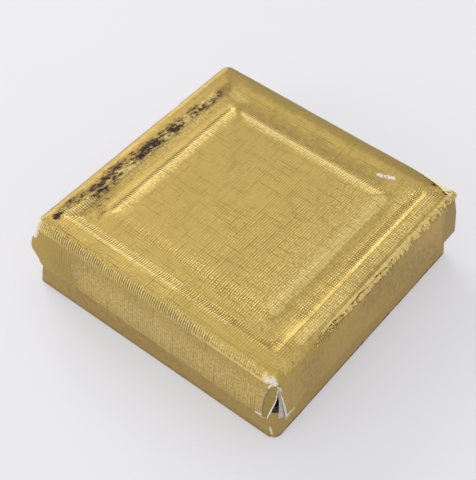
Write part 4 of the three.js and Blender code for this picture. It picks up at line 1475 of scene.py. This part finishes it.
# %% [markdown]
# ## The satin pad
# Inside the lid is a card with wadding under ivory satin. The satin is a cloth: its edge is pinned round the
# card, pressure stands in for the wadding, and a little spare cloth gives the soft folds at the corners. It
# is worked out ten times too large, which suits the cloth solver, and then brought back to size.

# %% The pad's satin
pad_low, pad_high = (Vector(v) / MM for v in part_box("lid_pad"))
PAD_HALF = pad_high.x
PAD_CORNER_R = 2.2
PAD_EDGE_Z = 15.75
PAD_GRID = 72
CLOTH_SCALE = 10.0
CLOTH_FRAMES = 20
IVORY, IVORY_AGED = colour(0.80, 0.73, 0.58), colour(0.66, 0.56, 0.38)


def satin_finish():
    material, tree, surface = new_material("ivory satin")
    place = place_in_mm(tree)
    shot = add_node(tree, "ShaderNodeMapping", Vector=place)
    shot.inputs["Scale"].default_value = (9.0, 0.8, 0.8)
    thread = speckle(tree, shot.outputs[0], 1.0, 2.0)
    aged = speckle(tree, place, 0.09, 3.0)
    tint = blend_colours(tree, soft_step(tree, aged, 0.35, 0.7), IVORY, IVORY_AGED)
    put(tree, surface.inputs["Base Color"], tint)
    put(tree, surface.inputs["Roughness"], sums(tree, "MULTIPLY_ADD", thread, 0.25, 0.28))
    surface.inputs["Sheen Weight"].default_value = 0.25
    surface.inputs["Anisotropic"].default_value = 0.4
    put(tree, surface.inputs["Normal"], relief(tree, thread, 0.012))
    return material


SATIN = satin_finish()


def pad_start():
    """The flat satin, face down, as a rounded-square grid in millimetres from its middle."""
    steps = np.linspace(-1, 1, PAD_GRID)
    across, along = (v.ravel() for v in np.meshgrid(steps, steps, indexing="ij"))
    corner = PAD_CORNER_R * np.maximum(np.abs(across) + np.abs(along) - 1.6, 0) ** 2 / 0.16 * 0.42
    flat = np.column_stack([across * (PAD_HALF - 0.2), along * (PAD_HALF - 0.2)])
    flat -= np.sign(flat) * corner[:, None] * 0.7
    border = (np.abs(across) > 0.999) | (np.abs(along) > 0.999)
    return flat, grid_faces(PAD_GRID, PAD_GRID, flipped=True), border


def inflate(flat, faces, border):
    """How far each point of the satin sinks below its edge, from a short cloth run."""
    points = np.column_stack([flat, np.zeros(len(flat))])
    cloth = mesh_piece("cloth_run", points * CLOTH_SCALE, faces, [])
    pins = cloth.vertex_groups.new(name="pins")
    pins.add([int(i) for i in np.flatnonzero(border)], 1.0, "REPLACE")
    run = cloth.modifiers.new("cloth", "CLOTH")
    run.settings.quality = 5
    run.settings.mass = 0.15
    run.settings.tension_stiffness = 12
    run.settings.compression_stiffness = 6
    run.settings.shear_stiffness = 4
    run.settings.bending_stiffness = 0.05
    run.settings.effector_weights.gravity = 0
    run.settings.vertex_group_mass = "pins"
    run.settings.shrink_min = -0.05
    run.settings.use_pressure = True
    run.settings.uniform_pressure_force = 4.0
    run.point_cache.frame_start = 1
    run.point_cache.frame_end = CLOTH_FRAMES
    for frame_number in range(1, CLOTH_FRAMES + 1):
        scene.frame_set(frame_number)
    graph = bpy.context.evaluated_depsgraph_get()
    settled = cloth.evaluated_get(graph).data
    places = np.zeros(len(settled.vertices) * 3)
    settled.vertices.foreach_get("co", places)
    bpy.data.objects.remove(cloth)
    scene.frame_set(1)
    return places.reshape(-1, 3) / MM / CLOTH_SCALE - points


def make_pad():
    flat, faces, border = pad_start()
    move = inflate(flat, faces, border)
    sink = np.abs(move[:, 2])
    room = PAD_EDGE_Z - pad_low.z - 0.03
    depth = room * np.tanh(sink / max(np.percentile(sink, 97), SMALLEST) * 1.6) / math.tanh(1.6 * 1.3)
    sideways = np.clip(move[:, :2], -0.4, 0.4)
    points = np.column_stack([flat + sideways, PAD_EDGE_Z - np.minimum(depth, room)])
    points[:, :2] = np.clip(points[:, :2], -PAD_HALF + 0.02, PAD_HALF - 0.02)
    piece = mesh_piece("satin_pad", points, faces, [SATIN])
    work = bmesh.new()
    work.from_mesh(piece.data)
    edges = [edge for edge in work.edges if edge.is_boundary]
    sides = bmesh.ops.extrude_edge_only(work, edges=edges)["geom"]
    raised = [item for item in sides if isinstance(item, bmesh.types.BMVert)]
    for vertex in raised:
        vertex.co.z = (pad_high.z - 0.02) * MM
    rim = [item for item in sides if isinstance(item, bmesh.types.BMEdge) and item.is_boundary]
    bmesh.ops.holes_fill(work, edges=rim)
    bmesh.ops.recalc_face_normals(work, faces=work.faces)
    work.to_mesh(piece.data)
    work.free()
    settle(piece, 50)
    hand_over(piece, "lid", "satin", "lid_pad")


make_pad()

# %% [markdown]
# ## Velvet
# The platform's cover is one square of velvet with a round hole, glued down and turned over the edges. A
# disc of the same velvet lies in the well. Pile looks darker where it leans away, and light on its rim.

# %% Velvet cover and disc
cover_low, cover_high = (Vector(v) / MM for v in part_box("insert_velvet"))
disc_low, disc_high = (Vector(v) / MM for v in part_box("well_velvet"))
COVER_HALF = cover_high.x
WELL_RADIUS = 19.6
DISC_RADIUS = disc_high.x
PLUM, PLUM_BRUSHED = colour(0.035, 0.008, 0.020), colour(0.085, 0.020, 0.048)
PLUM_DEEP = colour(0.02, 0.004, 0.012)


def velvet_finish():
    material, tree, surface = new_material("plum velvet")
    place = place_in_mm(tree)
    brushed = speckle(tree, place, 0.11, 3.0)
    pile = speckle(tree, place, 7.0, 2.0)
    tint = blend_colours(tree, soft_step(tree, brushed, 0.4, 0.62), PLUM, PLUM_BRUSHED)
    tint = blend_colours(tree, sums(tree, "MULTIPLY", pile, 0.5), tint, PLUM_DEEP)
    put(tree, surface.inputs["Base Color"], tint)
    put(tree, surface.inputs["Roughness"], sums(tree, "MULTIPLY_ADD", pile, 0.1, 0.86))
    surface.inputs["Specular IOR Level"].default_value = 0.15
    surface.inputs["Sheen Weight"].default_value = 0.8
    surface.inputs["Sheen Roughness"].default_value = 0.35
    surface.inputs["Sheen Tint"].default_value = colour(0.50, 0.20, 0.32)
    put(tree, surface.inputs["Normal"], relief(tree, pile, 0.10))
    return material


VELVET = velvet_finish()


def ring_sheet(name, inner, outer, top_z, low_z, steps, material):
    """A flat sheet between two closed outlines, with both edges turned down."""
    count = len(inner)
    first, last = [0.0, 0.0, 0.004, 0.012], [0.988, 0.996, 1.0, 1.0]
    shares = np.concatenate([first, np.linspace(0.03, 0.97, steps), last])
    drops = np.concatenate([[1.0, 0.5, 0.12, 0.03], np.zeros(steps), [0.03, 0.12, 0.5, 1.0]])
    points = []
    for share, drop in zip(shares, drops):
        flat = inner + (outer - inner) * share
        points.append(np.column_stack([flat, np.full(count, top_z - drop * (top_z - low_z))]))
    points = np.concatenate(points)
    wavy = points[:, 2] > top_z - 0.01
    points[:, 2] -= wavy * 0.05 * (0.5 + 0.5 * ripple(points, 0.25, 8))
    faces = []
    for i in range(len(shares) - 1):
        for j in range(count):
            after = (j + 1) % count
            faces.append([i * count + j, (i + 1) * count + j, (i + 1) * count + after, i * count + after])
    piece = mesh_piece(name, points, faces, [material])
    weld(piece.data)
    return piece


def make_velvets():
    turns = np.linspace(0, 2 * math.pi, 192, endpoint=False)
    circle = np.column_stack([np.cos(turns), np.sin(turns)])
    square = circle / np.abs(circle).max(1)[:, None]
    length = np.linalg.norm(square, axis=1)
    square *= np.minimum(1, 1.395 / length)[:, None]
    cover = ring_sheet("velvet_cover", circle * (WELL_RADIUS + 0.03), square * (COVER_HALF - 0.05),
                       cover_high.z - 0.01, cover_low.z + 0.1, 16, VELVET)
    give_thickness(cover, 0.12, 0)
    hand_over(cover, "base", "velvet", "insert_velvet")
    disc = ring_sheet("velvet_disc", circle * 0.0001, circle * (DISC_RADIUS - 0.04), disc_high.z - 0.01,
                      disc_low.z + 0.1, 14, VELVET)
    give_thickness(disc, 0.12, 0)
    hand_over(disc, "base", "velvet", "well_velvet")


make_velvets()

# %% [markdown]
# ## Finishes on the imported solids
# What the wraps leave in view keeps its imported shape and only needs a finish: the boards, the other corner
# strips, the linings, the platform and the well.

# %% Dressing the other parts


def strip_finish():
    material, tree, surface = new_material("gilt strip")
    place = place_in_mm(tree)
    round_wall = add_node(tree, "ShaderNodeSeparateXYZ", Vector=place).outputs
    along = sums(tree, "SUBTRACT", round_wall["X"], round_wall["Y"])
    flat = add_node(tree, "ShaderNodeCombineXYZ", X=along, Y=round_wall["Z"])
    weave = linen(tree, flat.outputs[0], WEAVE_PITCH)
    stain = speckle(tree, place, 0.5, 3.0)
    gold = blend_colours(tree, stain, BASE_GOLD_LIGHT, BASE_GOLD_DARK)
    # The weave's furrows darker: grime, and painted shade between the threads.
    gold = blend_colours(tree, sums(tree, "MULTIPLY", weave["Furrow"], 0.5), gold, GRIME_AND_SHADE)
    put(tree, surface.inputs["Base Color"], gold)
    put(tree, surface.inputs["Metallic"], sums(tree, "MULTIPLY_ADD", stain, -0.3, 0.95))
    put(tree, surface.inputs["Roughness"], sums(tree, "MULTIPLY_ADD", stain, 0.2, 0.35))
    put(tree, surface.inputs["Normal"], relief(tree, weave["Height"], 0.02))
    return material


FINISHES = {
    "gilt_paper": strip_finish(),
    "greyboard": GREYBOARD,
    "card": BUFF_CARD,
    "lining_paper": LINING_PAPER,
    "satin": SATIN,
    "velvet": VELVET,
}


def dress_solids():
    dressed = 0
    for part in frame["record"]["subparts"]:
        solid = bpy.data.objects.get(part["node"])
        if solid is not None:
            solid.data.materials.clear()
            solid.data.materials.append(FINISHES[part["material_slot"]])
            dressed += 1
    print("dressed", dressed, "packed solids")


dress_solids()

# %% [markdown]
# ## Floor and light
# A plain pale floor and soft light: one large lamp behind on the left, a small weak one in front, and a pale
# room all round. The gilding mirrors the room, so the room's tone decides how bright the walls look.

# %% Stage and lamps
FLOOR_SIZE = 3.0
FLOOR_COLOUR, FLOOR_LIGHTER = colour(0.80, 0.80, 0.82), colour(0.82, 0.82, 0.84)
FLOOR_GLOW = colour(0.905, 0.90, 0.93)
FLOOR_GLOW_SHARE = 0.42
ROOM_COLOUR = colour(0.97, 0.97, 1.0)
ROOM_LIGHT = 0.74
LAMPS = (
    ("key", Vector((-1.42, 0.60, 0.72)), 1.0, 14.2),
    ("fill", Vector((-0.25, -0.70, 0.30)), 0.6, 1.5),
)


def make_floor():
    bpy.ops.mesh.primitive_plane_add(size=FLOOR_SIZE)
    floor = bpy.context.object
    floor.name = "floor"
    material, tree, surface = new_material("pale floor")
    tint = speckle(tree, place_in_mm(tree), 0.02, 2.0)
    put(tree, surface.inputs["Base Color"], blend_colours(tree, tint, FLOOR_COLOUR, FLOOR_LIGHTER))
    surface.inputs["Roughness"].default_value = 0.7
    surface.inputs["Specular IOR Level"].default_value = 0.1
    ray = add_node(tree, "ShaderNodeLightPath").outputs
    seen = sums(tree, "MAXIMUM", ray["Is Camera Ray"], ray["Is Glossy Ray"])
    seen = sums(tree, "MAXIMUM", seen, ray["Is Transmission Ray"])
    pale = add_node(tree, "ShaderNodeEmission", Color=FLOOR_GLOW)
    mixed = add_node(tree, "ShaderNodeMixShader", Fac=sums(tree, "MULTIPLY", seen, FLOOR_GLOW_SHARE))
    tree.links.new(surface.outputs[0], mixed.inputs[1])
    tree.links.new(pale.outputs[0], mixed.inputs[2])
    tree.links.new(mixed.outputs[0], tree.nodes["Material Output"].inputs["Surface"])
    floor.data.materials.append(material)


def make_light():
    world = bpy.data.worlds.new("room")
    scene.world = world
    world.use_nodes = True
    room = world.node_tree.nodes["Background"]
    room.inputs["Color"].default_value = ROOM_COLOUR
    room.inputs["Strength"].default_value = ROOM_LIGHT
    for name, place, size, power in LAMPS:
        data = bpy.data.lights.new(name, "AREA")
        data.size = size
        data.energy = power
        lamp = bpy.data.objects.new(name, data)
        lamp.location = place
        lamp.rotation_euler = (-place).to_track_quat("-Z", "Y").to_euler()
        scene.collection.objects.link(lamp)


make_floor()
make_light()
print("floor and light ready")

# %% [markdown]
# ## Last update

# %% Finish
bpy.context.view_layer.update()
